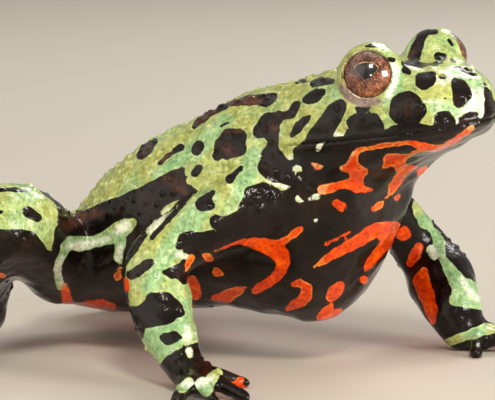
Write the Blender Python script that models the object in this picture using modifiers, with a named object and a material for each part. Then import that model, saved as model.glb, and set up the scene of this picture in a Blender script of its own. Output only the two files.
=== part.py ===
"""Fire-bellied toad, a still life-size model of an adult sitting up on straight forelegs.

The flesh is modelled whole: lofts for the trunk and head and tapered tubes for the limbs are fused,
their creases are filled as skin fills them, and thin cuts then part it into named nodes.
Lengths are millimetres until MM turns them to metres. +X is the way the toad faces, +Y its left, +Z up,
and the floor is at zero.
"""

import math

import bmesh
import bpy
import numpy as np
from mathutils import Matrix, Vector

MM = 0.001
CUT = 0.3
FUSE_VOXEL = 0.36
BODY_TRIANGLES = 9600

# The head turns a little to the right, lifts its nose and leans, about the middle of the mouth line.
HEAD_ORIGIN = Vector((39.3, -0.9, 23.3))
HEAD_YAW = math.radians(-12)
HEAD_PITCH = math.radians(8)
HEAD_ROLL = math.radians(4.8)

EYE_RADIUS = 2.4
LID_RADIUS = 3.22
EYE_PLACE = Vector((0.5, 4.75, 6.05))
EYE_AXIS = Vector((0.59, 0.78, 0.2)).normalized()
LID_OPENING = 2.45
LID_CUT_DEPTH = 5.0

NOSTRIL_PLACE = Vector((6.95, 1.85, 5.3))
NOSTRIL_RADIUS = 0.42
NOSTRIL_SIDES = 8

# Trunk: how far forward, middle, top, belly, half width, height of the widest line.
TRUNK = (
    (-3.0, 0.0, 7.6, 5.6, 1.0, 6.6),
    (-2.2, 0.0, 9.2, 4.6, 3.0, 6.8),
    (-0.6, 0.0, 11.2, 3.6, 5.0, 6.9),
    (1.6, 0.0, 12.9, 3.0, 6.9, 7.4),
    (4.5, 0.0, 15.4, 2.8, 8.6, 8.2),
    (7.5, 0.0, 18.5, 2.8, 10.2, 9.2),
    (11.0, 0.0, 20.8, 3.2, 11.6, 10.6),
    (15.0, 0.2, 22.7, 3.9, 12.2, 12.0),
    (20.0, 0.5, 25.3, 4.4, 12.1, 13.6),
    (25.0, 0.7, 26.9, 4.0, 11.2, 14.8),
    (28.5, 0.6, 27.5, 3.7, 10.1, 15.8),
    (31.0, 0.3, 28.0, 4.6, 9.2, 17.0),
    (33.5, 0.0, 28.3, 8.0, 8.2, 18.6),
    (36.5, -0.4, 28.0, 13.8, 6.6, 20.4),
)

# Upper jaw and skull: the same columns, measured from the head's own origin.
SKULL = (
    (-15.0, 0.0, 4.6, -3.0, 6.8, 0.8),
    (-12.5, 0.0, 5.6, -2.8, 8.2, 0.7),
    (-9.5, 0.0, 6.3, -2.4, 8.9, 0.6),
    (-6.0, 0.0, 6.6, -1.6, 9.1, 0.5),
    (-2.5, 0.0, 6.7, -1.0, 8.8, 0.4),
    (1.0, 0.0, 6.6, -0.8, 8.1, 0.4),
    (4.0, 0.0, 6.3, -0.7, 7.1, 0.4),
    (6.5, 0.0, 5.6, -0.6, 5.7, 0.6),
    (8.3, 0.0, 4.5, -0.4, 4.0, 0.8),
    (9.3, 0.0, 3.3, 0.0, 2.4, 1.0),
    (9.8, 0.0, 2.2, 0.6, 0.9, 1.3),
)

# Lower jaw and throat.
JAW = (
    (-12.0, 0.0, 0.0, -9.6, 7.4, -4.0),
    (-8.0, 0.0, 0.2, -8.4, 8.5, -2.4),
    (-4.0, 0.0, 0.2, -5.9, 8.6, -1.6),
    (-1.0, 0.0, 0.2, -4.0, 8.0, -1.2),
    (2.0, 0.0, 0.2, -2.7, 7.1, -0.9),
    (5.0, 0.0, 0.2, -1.7, 5.7, -0.6),
    (7.4, 0.0, 0.2, -1.0, 3.9, -0.4),
    (8.7, 0.0, 0.1, -0.5, 2.0, -0.2),
    (9.1, 0.0, 0.0, -0.3, 0.8, -0.1),
)

# Limb joints and the flesh round them: place, then radius. Right limbs first.
ARMS = {
    "right": (
        ((27.4, -5.0, 18.0), 3.6),
        ((26.4, -8.8, 16.6), 3.5),
        ((22.8, -12.6, 13.7), 3.0),
        ((19.8, -15.5, 10.6), 2.95),
        ((21.1, -16.8, 7.3), 3.1),
        ((23.8, -18.6, 4.2), 2.5),
        ((25.8, -19.9, 2.3), 2.0),
    ),
    "left": (
        ((28.4, 5.0, 16.6), 3.2),
        ((29.4, 8.8, 14.8), 3.0),
        ((31.0, 12.2, 11.8), 2.5),
        ((32.4, 14.2, 8.9), 2.8),
        ((34.6, 13.9, 6.4), 3.55),
        ((36.8, 12.3, 4.0), 3.1),
        ((38.2, 11.4, 2.2), 2.35),
    ),
}
FINGERS = {
    "right": ((30.8, -16.8), (34.4, -22.6), (34.2, -27.2), (31.2, -29.6)),
    "left": ((41.8, 8.2), (45.4, 12.2), (45.0, 16.6), (41.6, 19.4)),
}
PALMS = {"right": (28.0, -21.3, 1.3), "left": (39.8, 12.2, 1.3)}

LEGS = {
    "right": (
        ((3.8, -2.6, 8.2), 4.2),
        ((4.2, -7.5, 8.2), 4.0),
        ((4.8, -12.8, 11.0), 4.2),
        ((5.0, -18.0, 13.5), 4.25),
        ((4.8, -21.6, 13.5), 3.5),
    ),
}
SHANKS = {
    "right": (
        ((4.6, -21.8, 13.0), 3.1),
        ((1.0, -18.2, 10.2), 3.6),
        ((-1.8, -13.6, 7.4), 2.9),
        ((-3.6, -10.2, 4.2), 2.1),
    ),
}
TARSI = {
    "right": (
        ((-3.8, -9.8, 3.4), 2.0),
        ((-2.2, -13.2, 2.2), 1.8),
        ((-0.4, -16.6, 1.5), 1.9),
    ),
}
TOES = {
    "right": (
        (2.6, -19.4),
        (4.4, -23.0),
        (4.0, -28.0),
        (0.4, -31.0),
        (-4.4, -26.4),
    ),
}
PALM_RADIUS = 1.7
TOE_RADIUS = 0.72
FINGER_RADIUS = 0.82
# Along a toe: the share of the way, then the rise and the thickness as shares of its radius.
TOE_SHAPE = ((0.0, 0.0, 1.45), (0.42, 0.55, 1.12), (0.74, 0.25, 0.9), (1.0, 0.0, 0.82))
TOE_TIP_HEIGHT = 0.55
# A rounded end runs this far past the last place and is this thick there, as shares of the last radius.
ROUND_END = ((0.55, 0.72), (0.85, 0.3))
LIMB_SIDES = 5
# The web: thickness and lift, how far along the toes it reaches, and how deep its bays are.
WEB_THICK = 0.62
WEB_LIFT = 0.05
WEB_SHARE = 0.8
WEB_BAY = 0.66

# In the head's frame the neck is cut this far forward, and the mouth's line lies this high.
NECK = -9.5
MOUTH = 0.55
# How far a cutter runs so that it clears the head, or the whole body, on every side.
PAST_HEAD = 20
PAST_BODY = 80
# A smaller scrap than this, in cubic millimetres, is dropped.
SCRAP = 0.5
CREASE_ROUNDS, CREASE_FILL, RIDGE_LOSS = 36, 0.5, 0.04
SHARP = math.radians(40)
CUTTER_SIDES = 20
FINISHES = {
    "back": ((0.38, 0.52, 0.16), 0.3),
    "throat": ((0.75, 0.16, 0.03), 0.3),
    "eye": ((0.2, 0.07, 0.03), 0.08),
}

# Cuts across the joints: middle, the way the limb runs through it, and radius.
JOINTS = {
    "right": {
        "shoulder": ((22.3, -13.1, 13.2), (0.0, -0.95, -0.25), 5.0),
        "elbow": ((20.0, -16.2, 9.0), (0.1, -0.25, -0.95), 4.4),
        "wrist": ((25.2, -19.5, 2.9), (0.55, -0.4, -0.7), 3.4),
        "hip": ((4.5, -11.3, 10.8), (-0.38, -0.9, 0.15), 6.4),
    },
}
JOINTS["left"] = {
    **{
        name: ((x, -y, z), (along[0], -along[1], along[2]), radius)
        for name, ((x, y, z), along, radius) in JOINTS["right"].items()
    },
    "shoulder": ((30.6, 11.8, 12.4), (0.25, 0.9, -0.35), 4.4),
    "elbow": ((33.0, 14.2, 8.0), (0.35, 0.1, -0.9), 4.4),
    "wrist": ((37.0, 11.9, 3.2), (0.6, -0.3, -0.7), 3.4),
}
# A folded joint is cut along its fold: how far the cut runs past the joint, in along the fold, and sideways.
KNEE_CUT = (6.0, 13.5, 5.6)
HEEL_CUT = (3.4, 5.5, 3.4)
ANCHORS = {
    "head": Vector((38, -0.7, 26)),
    "lower_jaw": Vector((38, -0.7, 20)),
    "torso": Vector((14, 0, 12)),
    "upper_arm_right": Vector((22, -14, 11)),
    "forearm_right": Vector((22.5, -17.5, 5.5)),
    "hand_right": Vector((29, -22, 1)),
    "upper_arm_left": Vector((32, 13, 11)),
    "forearm_left": Vector((35.5, 13.5, 5.5)),
    "hand_left": Vector((41, 13, 1)),
    "thigh_right": Vector((5, -15, 12)),
    "shank_right": Vector((0, -16, 9)),
    "foot_right": Vector((2, -20, 1.5)),
    "thigh_left": Vector((5, 15, 12)),
    "shank_left": Vector((0, 16, 9)),
    "foot_left": Vector((2, 20, 1.5)),
}


def mirrored(chain):
    """The left side's chain of a right one, given as (place, radius) or as a plain place."""
    return tuple(
        ((p[0][0], -p[0][1], p[0][2]), p[1]) if isinstance(p[0], tuple) else (p[0], -p[1])
        for p in chain
    )


for limb in (LEGS, SHANKS, TARSI, TOES):
    limb["left"] = mirrored(limb["right"])


def head_matrix():
    turn = Matrix.Rotation(HEAD_YAW, 4, "Z") @ Matrix.Rotation(-HEAD_PITCH, 4, "Y")
    return Matrix.Translation(HEAD_ORIGIN) @ turn @ Matrix.Rotation(HEAD_ROLL, 4, "X")


HEAD = head_matrix()


def on_head(place, side=1):
    """A point measured on the head's left, or mirrored to its right, in the toad's frame."""
    return HEAD @ Vector((place[0], side * place[1], place[2]))


def smooth_rows(rows, steps):
    """More rows between the given ones, on a Catmull-Rom curve through them."""
    rows = np.array(rows, float)
    ends = np.vstack([2 * rows[0] - rows[1], rows, 2 * rows[-1] - rows[-2]])
    found = []
    for i in range(1, len(ends) - 2):
        a, b, c, d = ends[i - 1 : i + 3]
        for t in np.arange(steps) / steps:
            slope = (c - a) + (2 * a - 5 * b + 4 * c - d) * t + (3 * b - a - 3 * c + d) * t * t
            found.append(b + 0.5 * slope * t)
    found.append(rows[-1])
    return np.array(found)


def new_object(name, mesh, collection):
    obj = bpy.data.objects.new(name, mesh)
    collection.objects.link(obj)
    return obj


def loft(name, rows, collection, matrix=None, above=2.2, below=2.0, around=40, steps=5):
    """A closed form through upright sections. above and below are how square each half of a section is."""
    bm = bmesh.new()
    rings = []
    for x, middle, top, bottom, half, wide in smooth_rows(rows, steps):
        ring = []
        for k in range(around):
            angle = 2 * math.pi * k / around
            c, s = math.cos(angle), math.sin(angle)
            square = above if s > 0 else below
            reach = top - wide if s > 0 else wide - bottom
            y = middle + half * math.copysign(abs(c) ** (2 / square), c)
            z = wide + reach * math.copysign(abs(s) ** (2 / square), s)
            ring.append(bm.verts.new(Vector((x, y, z)) * MM))
        rings.append(ring)
    for a, b in zip(rings, rings[1:]):
        for k in range(around):
            bm.faces.new((a[k], a[k - 1], b[k - 1], b[k]))
    bm.faces.new(rings[0])
    bm.faces.new(rings[-1])
    bmesh.ops.recalc_face_normals(bm, faces=bm.faces)
    if matrix is not None:
        placed = matrix.copy()
        placed.translation *= MM
        bm.transform(placed)
    mesh = bpy.data.meshes.new(name)
    bm.to_mesh(mesh)
    bm.free()
    return new_object(name, mesh, collection)


def tube(name, chain, collection, round_tip=True, sides=3):
    """A tapered limb through the chain's places, as a mesh with its caps welded."""
    chain = list(chain)
    if round_tip:
        last, radius = Vector(chain[-1][0]), chain[-1][1]
        along = (last - Vector(chain[-2][0])).normalized()
        for past, thick in ROUND_END:
            chain.append((last + along * radius * past, radius * thick))
    curve = bpy.data.curves.new(name, "CURVE")
    curve.dimensions = "3D"
    curve.bevel_depth = MM
    curve.bevel_resolution = sides
    curve.resolution_u = 6
    curve.use_fill_caps = True
    line = curve.splines.new("BEZIER")
    line.bezier_points.add(len(chain) - 1)
    for point, (place, radius) in zip(line.bezier_points, chain):
        point.co = Vector(place) * MM
        point.radius = radius
        point.handle_left_type = point.handle_right_type = "AUTO"
    holder = new_object(name, curve, collection)
    bpy.context.view_layer.update()
    mesh = bpy.data.meshes.new_from_object(holder.evaluated_get(bpy.context.evaluated_depsgraph_get()))
    bpy.data.objects.remove(holder)
    bm = bmesh.new()
    bm.from_mesh(mesh)
    bmesh.ops.remove_doubles(bm, verts=bm.verts, dist=0.01 * MM)
    bm.to_mesh(mesh)
    bm.free()
    return new_object(name, mesh, collection)


def ball(name, place, radius, collection, segments=24):
    bm = bmesh.new()
    bmesh.ops.create_uvsphere(bm, u_segments=segments, v_segments=segments // 2, radius=radius * MM)
    bm.transform(Matrix.Translation(Vector(place) * MM))
    mesh = bpy.data.meshes.new(name)
    bm.to_mesh(mesh)
    bm.free()
    return new_object(name, mesh, collection)


def toe_chain(root, tip, radius):
    """A toe or finger from inside the palm, over its knuckle and down to a tip on the floor."""
    root, tip = Vector(root), Vector((tip[0], tip[1], radius * TOE_TIP_HEIGHT))
    return tuple(
        (root.lerp(tip, way) + Vector((0, 0, rise * radius)), thick * radius)
        for way, rise, thick in TOE_SHAPE
    )


def web(name, root, tips, collection):
    """The skin between neighbouring toes, as one flat outline with a bay between each two."""
    outline = [Vector((root[0], root[1], 0))]
    flat_root = outline[0]
    for i, tip in enumerate(tips):
        here = flat_root.lerp(Vector((tip[0], tip[1], 0)), WEB_SHARE)
        if i:
            before = flat_root.lerp(Vector((tips[i - 1][0], tips[i - 1][1], 0)), WEB_SHARE)
            outline.append(flat_root.lerp((before + here) / 2, WEB_BAY))
        outline.append(here)
    curve = bpy.data.curves.new(name, "CURVE")
    curve.dimensions = "2D"
    curve.fill_mode = "BOTH"
    curve.extrude = WEB_THICK / 2 * MM
    line = curve.splines.new("POLY")
    line.points.add(len(outline) - 1)
    for point, place in zip(line.points, outline):
        point.co = (place.x * MM, place.y * MM, 0, 1)
    line.use_cyclic_u = True
    holder = new_object(name, curve, collection)
    holder.location.z = (WEB_THICK / 2 + WEB_LIFT) * MM
    bpy.context.view_layer.update()
    mesh = bpy.data.meshes.new_from_object(holder.evaluated_get(bpy.context.evaluated_depsgraph_get()))
    mesh.transform(holder.matrix_world)
    bpy.data.objects.remove(holder)
    bm = bmesh.new()
    bm.from_mesh(mesh)
    bmesh.ops.remove_doubles(bm, verts=bm.verts, dist=0.01 * MM)
    bm.to_mesh(mesh)
    bm.free()
    return new_object(name, mesh, collection)


def flesh_forms(collection):
    """Every form of flesh, overlapping, before they are fused."""
    loft("trunk", TRUNK, collection, above=2.1, below=2.1)
    loft("skull", SKULL, collection, HEAD, above=2.5, below=2.0)
    loft("jaw", JAW, collection, HEAD, above=3.0, below=2.1)
    for side, sign in (("right", -1), ("left", 1)):
        ball("lid_" + side, on_head(EYE_PLACE, sign), LID_RADIUS, collection)
        tube("arm_" + side, ARMS[side], collection, sides=LIMB_SIDES)
        tube("palm_" + side, (ARMS[side][-1], (PALMS[side], PALM_RADIUS)), collection)
        for i, tip in enumerate(FINGERS[side]):
            tube(f"finger_{side}_{i}", toe_chain(PALMS[side], tip, FINGER_RADIUS), collection)
        tube("thigh_" + side, LEGS[side], collection, sides=LIMB_SIDES)
        tube("shank_" + side, SHANKS[side], collection, sides=LIMB_SIDES)
        tube("tarsus_" + side, TARSI[side], collection)
        ball_of_foot = TARSI[side][-1][0]
        for i, tip in enumerate(TOES[side]):
            tube(f"toe_{side}_{i}", toe_chain(ball_of_foot, tip, TOE_RADIUS), collection)
        web("web_" + side, ball_of_foot, TOES[side], collection)


def fused(collection, name, voxel):
    """One mesh of all the collection's forms, remeshed so that no inner wall is left."""
    bm = bmesh.new()
    for obj in list(collection.objects):
        bm.from_mesh(obj.data)
        bpy.data.objects.remove(obj)
    mesh = bpy.data.meshes.new(name)
    bm.to_mesh(mesh)
    bm.free()
    obj = new_object(name, mesh, collection)
    remesh = obj.modifiers.new("fuse", "REMESH")
    remesh.mode = "VOXEL"
    remesh.voxel_size = voxel * MM
    return applied(obj)


def applied(obj):
    """The object with its modifiers made part of its mesh."""
    bpy.context.view_layer.update()
    mesh = bpy.data.meshes.new_from_object(obj.evaluated_get(bpy.context.evaluated_depsgraph_get()))
    obj.modifiers.clear()
    old = obj.data
    obj.data = mesh
    bpy.data.meshes.remove(old)
    return obj


def fill_creases(obj, rounds, hollow, ridge):
    """Draws the surface together as skin does: hollows fill by one share, and ridges shrink by the other."""
    mesh = obj.data
    co = np.empty(len(mesh.vertices) * 3)
    mesh.vertices.foreach_get("co", co)
    co = co.reshape(-1, 3)
    edges = np.empty(len(mesh.edges) * 2, np.int64)
    mesh.edges.foreach_get("vertices", edges)
    a, b = edges.reshape(-1, 2).T
    count = np.bincount(np.concatenate([a, b]), minlength=len(co))[:, None]
    for _ in range(rounds):
        mesh.vertices.foreach_set("co", co.ravel())
        mesh.update()
        normals = np.empty(len(co) * 3)
        mesh.vertices.foreach_get("normal", normals)
        normals = normals.reshape(-1, 3)
        pull = np.zeros_like(co)
        np.add.at(pull, a, co[b])
        np.add.at(pull, b, co[a])
        pull = pull / count - co
        out = (pull * normals).sum(1, keepdims=True)
        co = co + 0.5 * (pull - out * normals) + out * normals * np.where(out > 0, hollow, ridge)
    mesh.vertices.foreach_set("co", co.ravel())
    mesh.update()


def disc(name, place, along, radius, collection, thick=CUT):
    """A thin round cutter, square to the direction along."""
    bm = bmesh.new()
    bmesh.ops.create_cone(
        bm, cap_ends=True, segments=CUTTER_SIDES, radius1=radius * MM, radius2=radius * MM, depth=thick * MM
    )
    turn = Vector(along).to_track_quat("Z", "Y").to_matrix().to_4x4()
    bm.transform(Matrix.Translation(Vector(place) * MM) @ turn)
    mesh = bpy.data.meshes.new(name)
    bm.to_mesh(mesh)
    bm.free()
    return new_object(name, mesh, collection)


def block(name, low, high, collection, matrix=None):
    """A box cutter between two corners, turned by the matrix."""
    bm = bmesh.new()
    bmesh.ops.create_cube(bm, size=1.0)
    low, high = Vector(low), Vector(high)
    spread = Matrix.Diagonal((*(high - low), 1.0))
    bm.transform((matrix or Matrix()) @ Matrix.Translation((low + high) / 2) @ spread)
    bmesh.ops.scale(bm, vec=(MM, MM, MM), verts=bm.verts)
    mesh = bpy.data.meshes.new(name)
    bm.to_mesh(mesh)
    bm.free()
    return new_object(name, mesh, collection)


def fold_cut(name, joint, one, other, reach, collection):
    """A thin cut that halves the angle between two lengths of a limb folded at the joint."""
    joint = Vector(joint)
    one, other = (Vector(one) - joint).normalized(), (Vector(other) - joint).normalized()
    inward, across = (one + other).normalized(), (one - other).normalized()
    turn = Matrix((inward, across.cross(inward), across)).transposed().to_4x4()
    out, into, wide = reach
    low, high = (-out, -wide, -CUT / 2), (into, wide, CUT / 2)
    return block(name, low, high, collection, Matrix.Translation(joint) @ turn)


def part_cutters(collection):
    """Thin cuts where the nodes meet, the floor's flats, the eye sockets and the nostrils."""
    block("floor", (-PAST_BODY, -PAST_BODY, -PAST_HEAD), (PAST_BODY, PAST_BODY, 0), collection)
    block("neck", (NECK, -PAST_HEAD, -PAST_HEAD), (NECK + CUT, PAST_HEAD, PAST_HEAD), collection, HEAD)
    low, high = MOUTH - CUT / 2, MOUTH + CUT / 2
    block("mouth", (NECK + CUT / 2, -PAST_HEAD, low), (PAST_HEAD, PAST_HEAD, high), collection, HEAD)
    for side, sign in (("right", -1), ("left", 1)):
        eye = on_head(EYE_PLACE, sign)
        axis = on_head(EYE_PLACE + EYE_AXIS, sign) - eye
        ball("socket_" + side, eye, EYE_RADIUS + CUT, collection, CUTTER_SIDES)
        disc("lids_" + side, eye + axis * LID_CUT_DEPTH / 2, axis, LID_OPENING, collection, LID_CUT_DEPTH)
        ball("nostril_" + side, on_head(NOSTRIL_PLACE, sign), NOSTRIL_RADIUS, collection, NOSTRIL_SIDES)
        thigh, shank, tarsus = LEGS[side], SHANKS[side], TARSI[side]
        fold_cut("knee_" + side, thigh[-1][0], thigh[1][0], shank[-1][0], KNEE_CUT, collection)
        fold_cut("heel_" + side, shank[-1][0], shank[1][0], tarsus[-1][0], HEEL_CUT, collection)
        for joint, (place, along, radius) in JOINTS[side].items():
            disc(f"{joint}_{side}", place, along, radius, collection)
    for cutter in collection.objects:
        cutter.hide_render = True
        cutter.display_type = "WIRE"


def cut_apart(body, cutters, collection):
    """The body less the cutters, as its separate pieces."""
    cut = body.modifiers.new("cut", "BOOLEAN")
    cut.operation = "DIFFERENCE"
    cut.operand_type = "COLLECTION"
    cut.collection = cutters
    applied(body)
    bm = bmesh.new()
    bm.from_mesh(body.data)
    pieces = []
    left = set(bm.verts)
    while left:
        island, edge = set(), {left.pop()}
        while edge:
            island |= edge
            edge = {e.other_vert(v) for v in edge for e in v.link_edges} - island
        left -= island
        pieces.append(island)
    made = []
    for island in sorted(pieces, key=lambda verts: min(v.index for v in verts)):
        piece = bmesh.new()
        twin = {v: piece.verts.new(v.co) for v in sorted(island, key=lambda v: v.index)}
        faces = {f for v in island for f in v.link_faces}
        for face in sorted(faces, key=lambda f: f.index):
            piece.faces.new([twin[v] for v in face.verts])
        made.append(piece)
    bm.free()
    bpy.data.objects.remove(body)
    return made


def name_pieces(pieces, collection):
    """Each anchor's node is the piece of most volume that is nearest to it; scraps are dropped."""
    nodes = {}
    for piece in pieces:
        volume = piece.calc_volume(signed=True)
        if volume < SCRAP * MM**3:
            continue
        centre = sum((v.co for v in piece.verts), Vector()) / len(piece.verts) / MM
        name = min(ANCHORS, key=lambda node: (ANCHORS[node] - centre).length)
        if name not in nodes or volume > nodes[name][0]:
            nodes[name] = (volume, piece)
    for name, (volume, piece) in nodes.items():
        mesh = bpy.data.meshes.new(name)
        piece.to_mesh(mesh)
        new_object(name, mesh, collection)


def finish(name):
    """The node's own material: wet skin of the back or the underside, or the eye's wet copper."""
    colour, roughness = FINISHES["eye" if "eye" in name else "throat" if "jaw" in name else "back"]
    material = bpy.data.materials.new(name)
    material.use_nodes = True
    shader = material.node_tree.nodes["Principled BSDF"]
    shader.inputs["Base Color"].default_value = (*colour, 1)
    shader.inputs["Roughness"].default_value = roughness
    shader.inputs["Metallic"].default_value = 0.0
    return material


def clear_scene():
    for obj in list(bpy.data.objects):
        bpy.data.objects.remove(obj)


def stand_on_origin(collection):
    """Moves every node so that the origin is the middle of the box's floor."""
    corners = [v.co for obj in collection.objects for v in obj.data.vertices]
    low = Vector(min(c[k] for c in corners) for k in range(3))
    high = Vector(max(c[k] for c in corners) for k in range(3))
    middle = (low + high) / 2
    for obj in collection.objects:
        obj.data.transform(Matrix.Translation((-middle.x, -middle.y, -low.z)))


def main():
    clear_scene()
    toad = bpy.data.collections.new("fire_bellied_toad")
    cutters = bpy.data.collections.new("cutters")
    bpy.context.scene.collection.children.link(toad)
    bpy.context.scene.collection.children.link(cutters)
    flesh_forms(toad)
    body = fused(toad, "body", FUSE_VOXEL)
    fill_creases(body, CREASE_ROUNDS, CREASE_FILL, RIDGE_LOSS)
    fewer = body.modifiers.new("fewer", "DECIMATE")
    fewer.ratio = BODY_TRIANGLES / (2 * len(body.data.polygons))
    fewer.use_collapse_triangulate = True
    applied(body)
    part_cutters(cutters)
    name_pieces(cut_apart(body, cutters, toad), toad)
    for side, sign in (("right", -1), ("left", 1)):
        ball("eye_" + side, on_head(EYE_PLACE, sign), EYE_RADIUS, toad, CUTTER_SIDES)
    for cutter in list(cutters.objects):
        bpy.data.objects.remove(cutter)
    stand_on_origin(toad)
    for node in toad.objects:
        node.data.materials.append(finish(node.name))
        node.data.shade_smooth()
        node.data.set_sharp_from_angle(angle=SHARP)


main()
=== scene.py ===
"""Looks of the fire-bellied toad: one wet, warty skin over the parted solids, and its two eyes.

Lengths are millimetres in the toad's own frame: +X is the way it faces, +Y its left, +Z up, and the floor
is at zero. place_in_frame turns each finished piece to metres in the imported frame.
"""

import math

import bmesh
import bpy
import numpy as np
from mathutils import Matrix, Vector, noise
from mathutils.bvhtree import BVHTree


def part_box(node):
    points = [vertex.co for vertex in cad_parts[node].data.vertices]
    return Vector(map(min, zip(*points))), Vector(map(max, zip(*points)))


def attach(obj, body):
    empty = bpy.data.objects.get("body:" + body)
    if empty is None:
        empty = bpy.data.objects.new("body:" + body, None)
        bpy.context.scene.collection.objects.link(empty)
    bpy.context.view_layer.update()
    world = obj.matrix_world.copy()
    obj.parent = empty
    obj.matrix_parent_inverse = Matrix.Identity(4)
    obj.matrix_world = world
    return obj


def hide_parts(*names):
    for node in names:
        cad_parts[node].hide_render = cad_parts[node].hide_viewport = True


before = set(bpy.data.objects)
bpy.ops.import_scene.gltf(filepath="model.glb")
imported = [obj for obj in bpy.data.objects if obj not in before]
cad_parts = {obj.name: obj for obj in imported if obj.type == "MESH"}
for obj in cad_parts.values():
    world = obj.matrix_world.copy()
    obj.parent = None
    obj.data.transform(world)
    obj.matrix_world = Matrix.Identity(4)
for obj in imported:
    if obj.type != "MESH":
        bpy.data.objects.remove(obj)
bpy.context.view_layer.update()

MM = 0.001
SIDES = (("right", -1), ("left", 1))
FLESH = [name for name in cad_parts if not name.startswith("eye")]
# Cells of the two remeshings of the skin, and the triangles that it keeps.
FUSE_VOXEL, SKIN_VOXEL = 0.36, 0.22
SKIN_TRIANGLES = 196000
# Pits of the skin, and ripples of the wet film over it.
GRAIN, FILM = 0.42, 0.5
# Warts: the least distance between two, and the radius and height that each one's own size scales.
WARTS = {"Spacing": 1.05, "Radius": 0.5, "Height": 0.24, "Seed": 7}
WART_SIZES = (0.55, 1.25)
# At most this many on a square millimetre.
WARTS_PER_SQUARE = 4.0
# A cluster of black warts over each shoulder: its place on the left, and its reach.
SHOULDER_WARTS, SHOULDER_REACH = (27.0, 8.8, 18.8), 4.6
# Loose skin: the length and the height of its long and its short waves.
LOOSE_SKIN = ((3.4, 0.22), (1.5, 0.1))

# The camera: degrees round and above, millimetres to the near eye, and that eye in the 495 x 400 frame.
VIEW_AZIMUTH, VIEW_RISE, VIEW_DISTANCE = 32, 8.5, 400
FRAME_SIZE = (495, 400)
PIXELS_PER_MM = 10.6
AIM, AIM_PIXEL = Vector((38.2, -7.0, 29.4)), (367, 73)
SENSOR_WIDTH = 36

# The head turns a little to the right, lifts its nose and leans, about the middle of the mouth line.
HEAD_ORIGIN = Vector((39.3, -0.9, 23.3))
HEAD_YAW = math.radians(-12)
HEAD_PITCH = math.radians(8)
HEAD_ROLL = math.radians(4.8)

# The eyes: lid, eyeball, and the rise and spread of the cornea.
LID_RADIUS = 3.22
EYE_PLACE = Vector((0.5, 4.75, 6.05))
GAZE = Vector((0.59, 0.78, 0.2)).normalized()
EYEBALL = 2.95
CORNEA_RISE, CORNEA_WIDTH = 0.14, 0.55
EYE_ROWS, EYE_AROUND = 60, 96
# Rows of the eyeball crowd together in front by this power.
EYE_CROWD = 1.25
IRIS_EDGE = 2.28
# The pupil: a rounded triangle, flat and arched above, with its tip below.
PUPIL_CENTRE = (-0.05, 0.26)
PUPIL_TOP = (0.98, 1.72)
PUPIL_SIDES = (0.72, 0.69, 0.66)
PUPIL_ROUND = 0.4
# Streaks of the iris: how quickly they change round the pupil, and outwards from it.
STREAKS_ROUND, STREAKS_OUT = 5, 1.6
# The lids' opening, and how near to it the skin is drawn onto its edge.
LID_RING = 2.36
LID_EDGE = 0.6 * SKIN_VOXEL
# The bead round the opening: radius, share that it thickens below, how far out, and by what factor forward.
RIM_BEAD, RIM_THICKER = 0.15, 0.25
RIM_OUT, RIM_FORWARD = 0.02, 1.03
RIM_SIDES = 12
# How far out from the eye's middle the socket's floor is, and how far past the lid its skin may stand.
SOCKET_FLOOR = 0.6
SOCKET_REACH = 0.6
# The bare lower lid: its outer edge, how far its middle turns back from straight down, and where it starts.
LOWER_LID = 3.12
LID_TURN = math.radians(20)
LID_SPAN = 1.75

# Nostrils: place on the left of the head, radius, depth, and the height and half width of the rim.
NOSTRIL_PLACE = Vector((6.95, 1.85, 5.3))
NOSTRIL_RADIUS = 0.3
NOSTRIL_DEPTH, NOSTRIL_RIM, NOSTRIL_RIM_HALF = 0.55, 0.1, 0.4
# In its own radii: the edge of the dent, the edge of the black painted in as the shade of the open nostril,
# and the ring of the rim.
NOSTRIL_DENT, NOSTRIL_SHADE, NOSTRIL_RING = 1.5, 1.25, 2.1
# The mouth on the head: its height, where it ends behind and how gently, how deep it is, and how near is
# the skin that it moves. The lips: half the line's width, and the rise, middle and reach of their swell.
MOUTH = 0.55
MOUTH_BACK, MOUTH_EASE = -9.0, 2.0
MOUTH_DEPTH, MOUTH_ZONE = 0.34, 1.2
LIP_WIDTH, LIP_RISE = 0.14, 0.12
LIP_MIDDLE, LIP_REACH = 0.38, 0.45
# A corner of the mesh this near a cut counts as on it, and one this near the middle cut sinks.
CUT_SNAP, CUT_MIDDLE = 0.02, 0.03

# Where the green of the back ends, on the unseen sides and on the seen one: how far forward, then how high.
BACK_LINE = ((-3, 5, 12, 20, 28, 34), (8.5, 13.0, 16.0, 18.5, 21.0, 22.5))
NEAR_LINE = ((-3, 5, 12, 16, 20, 28, 34), (9.0, 13.0, 16.0, 15.5, 15.0, 17.0, 22.0))
# Well outside every marking, and how far from a stroke's own depth, nearer or farther, it still paints.
FAR = -4.0
MARK_DEPTH, GROUND_DEPTH = 3.2, 5.0
# Pixels round a stroke where it is still worked out, and the rounds that soften the edge of what is seen.
STROKE_MARGIN = 14
SEEN_ROUNDS = 6
# On the head, forward of its origin: where the trunk's markings end, where the skull's start, and where its
# warts do. Above the mouth: where the green starts, and where the warts do.
TRUNK_END, SKULL_START, HEAD_WARTS = -9, -12, -8
GREEN_LIP, WARTY_LIP = 0.5, 1.2
# Heights above the line of the green are divided by this.
LINE_FALL = 1.4
# How far off a limb's surface its share ends, and the radius and height of the tips of fingers and toes.
LIMB_REACH = 1.2
FINGER_TIP, TOE_TIP, TIP_HEIGHT = 0.8, 0.7, 0.5

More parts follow.
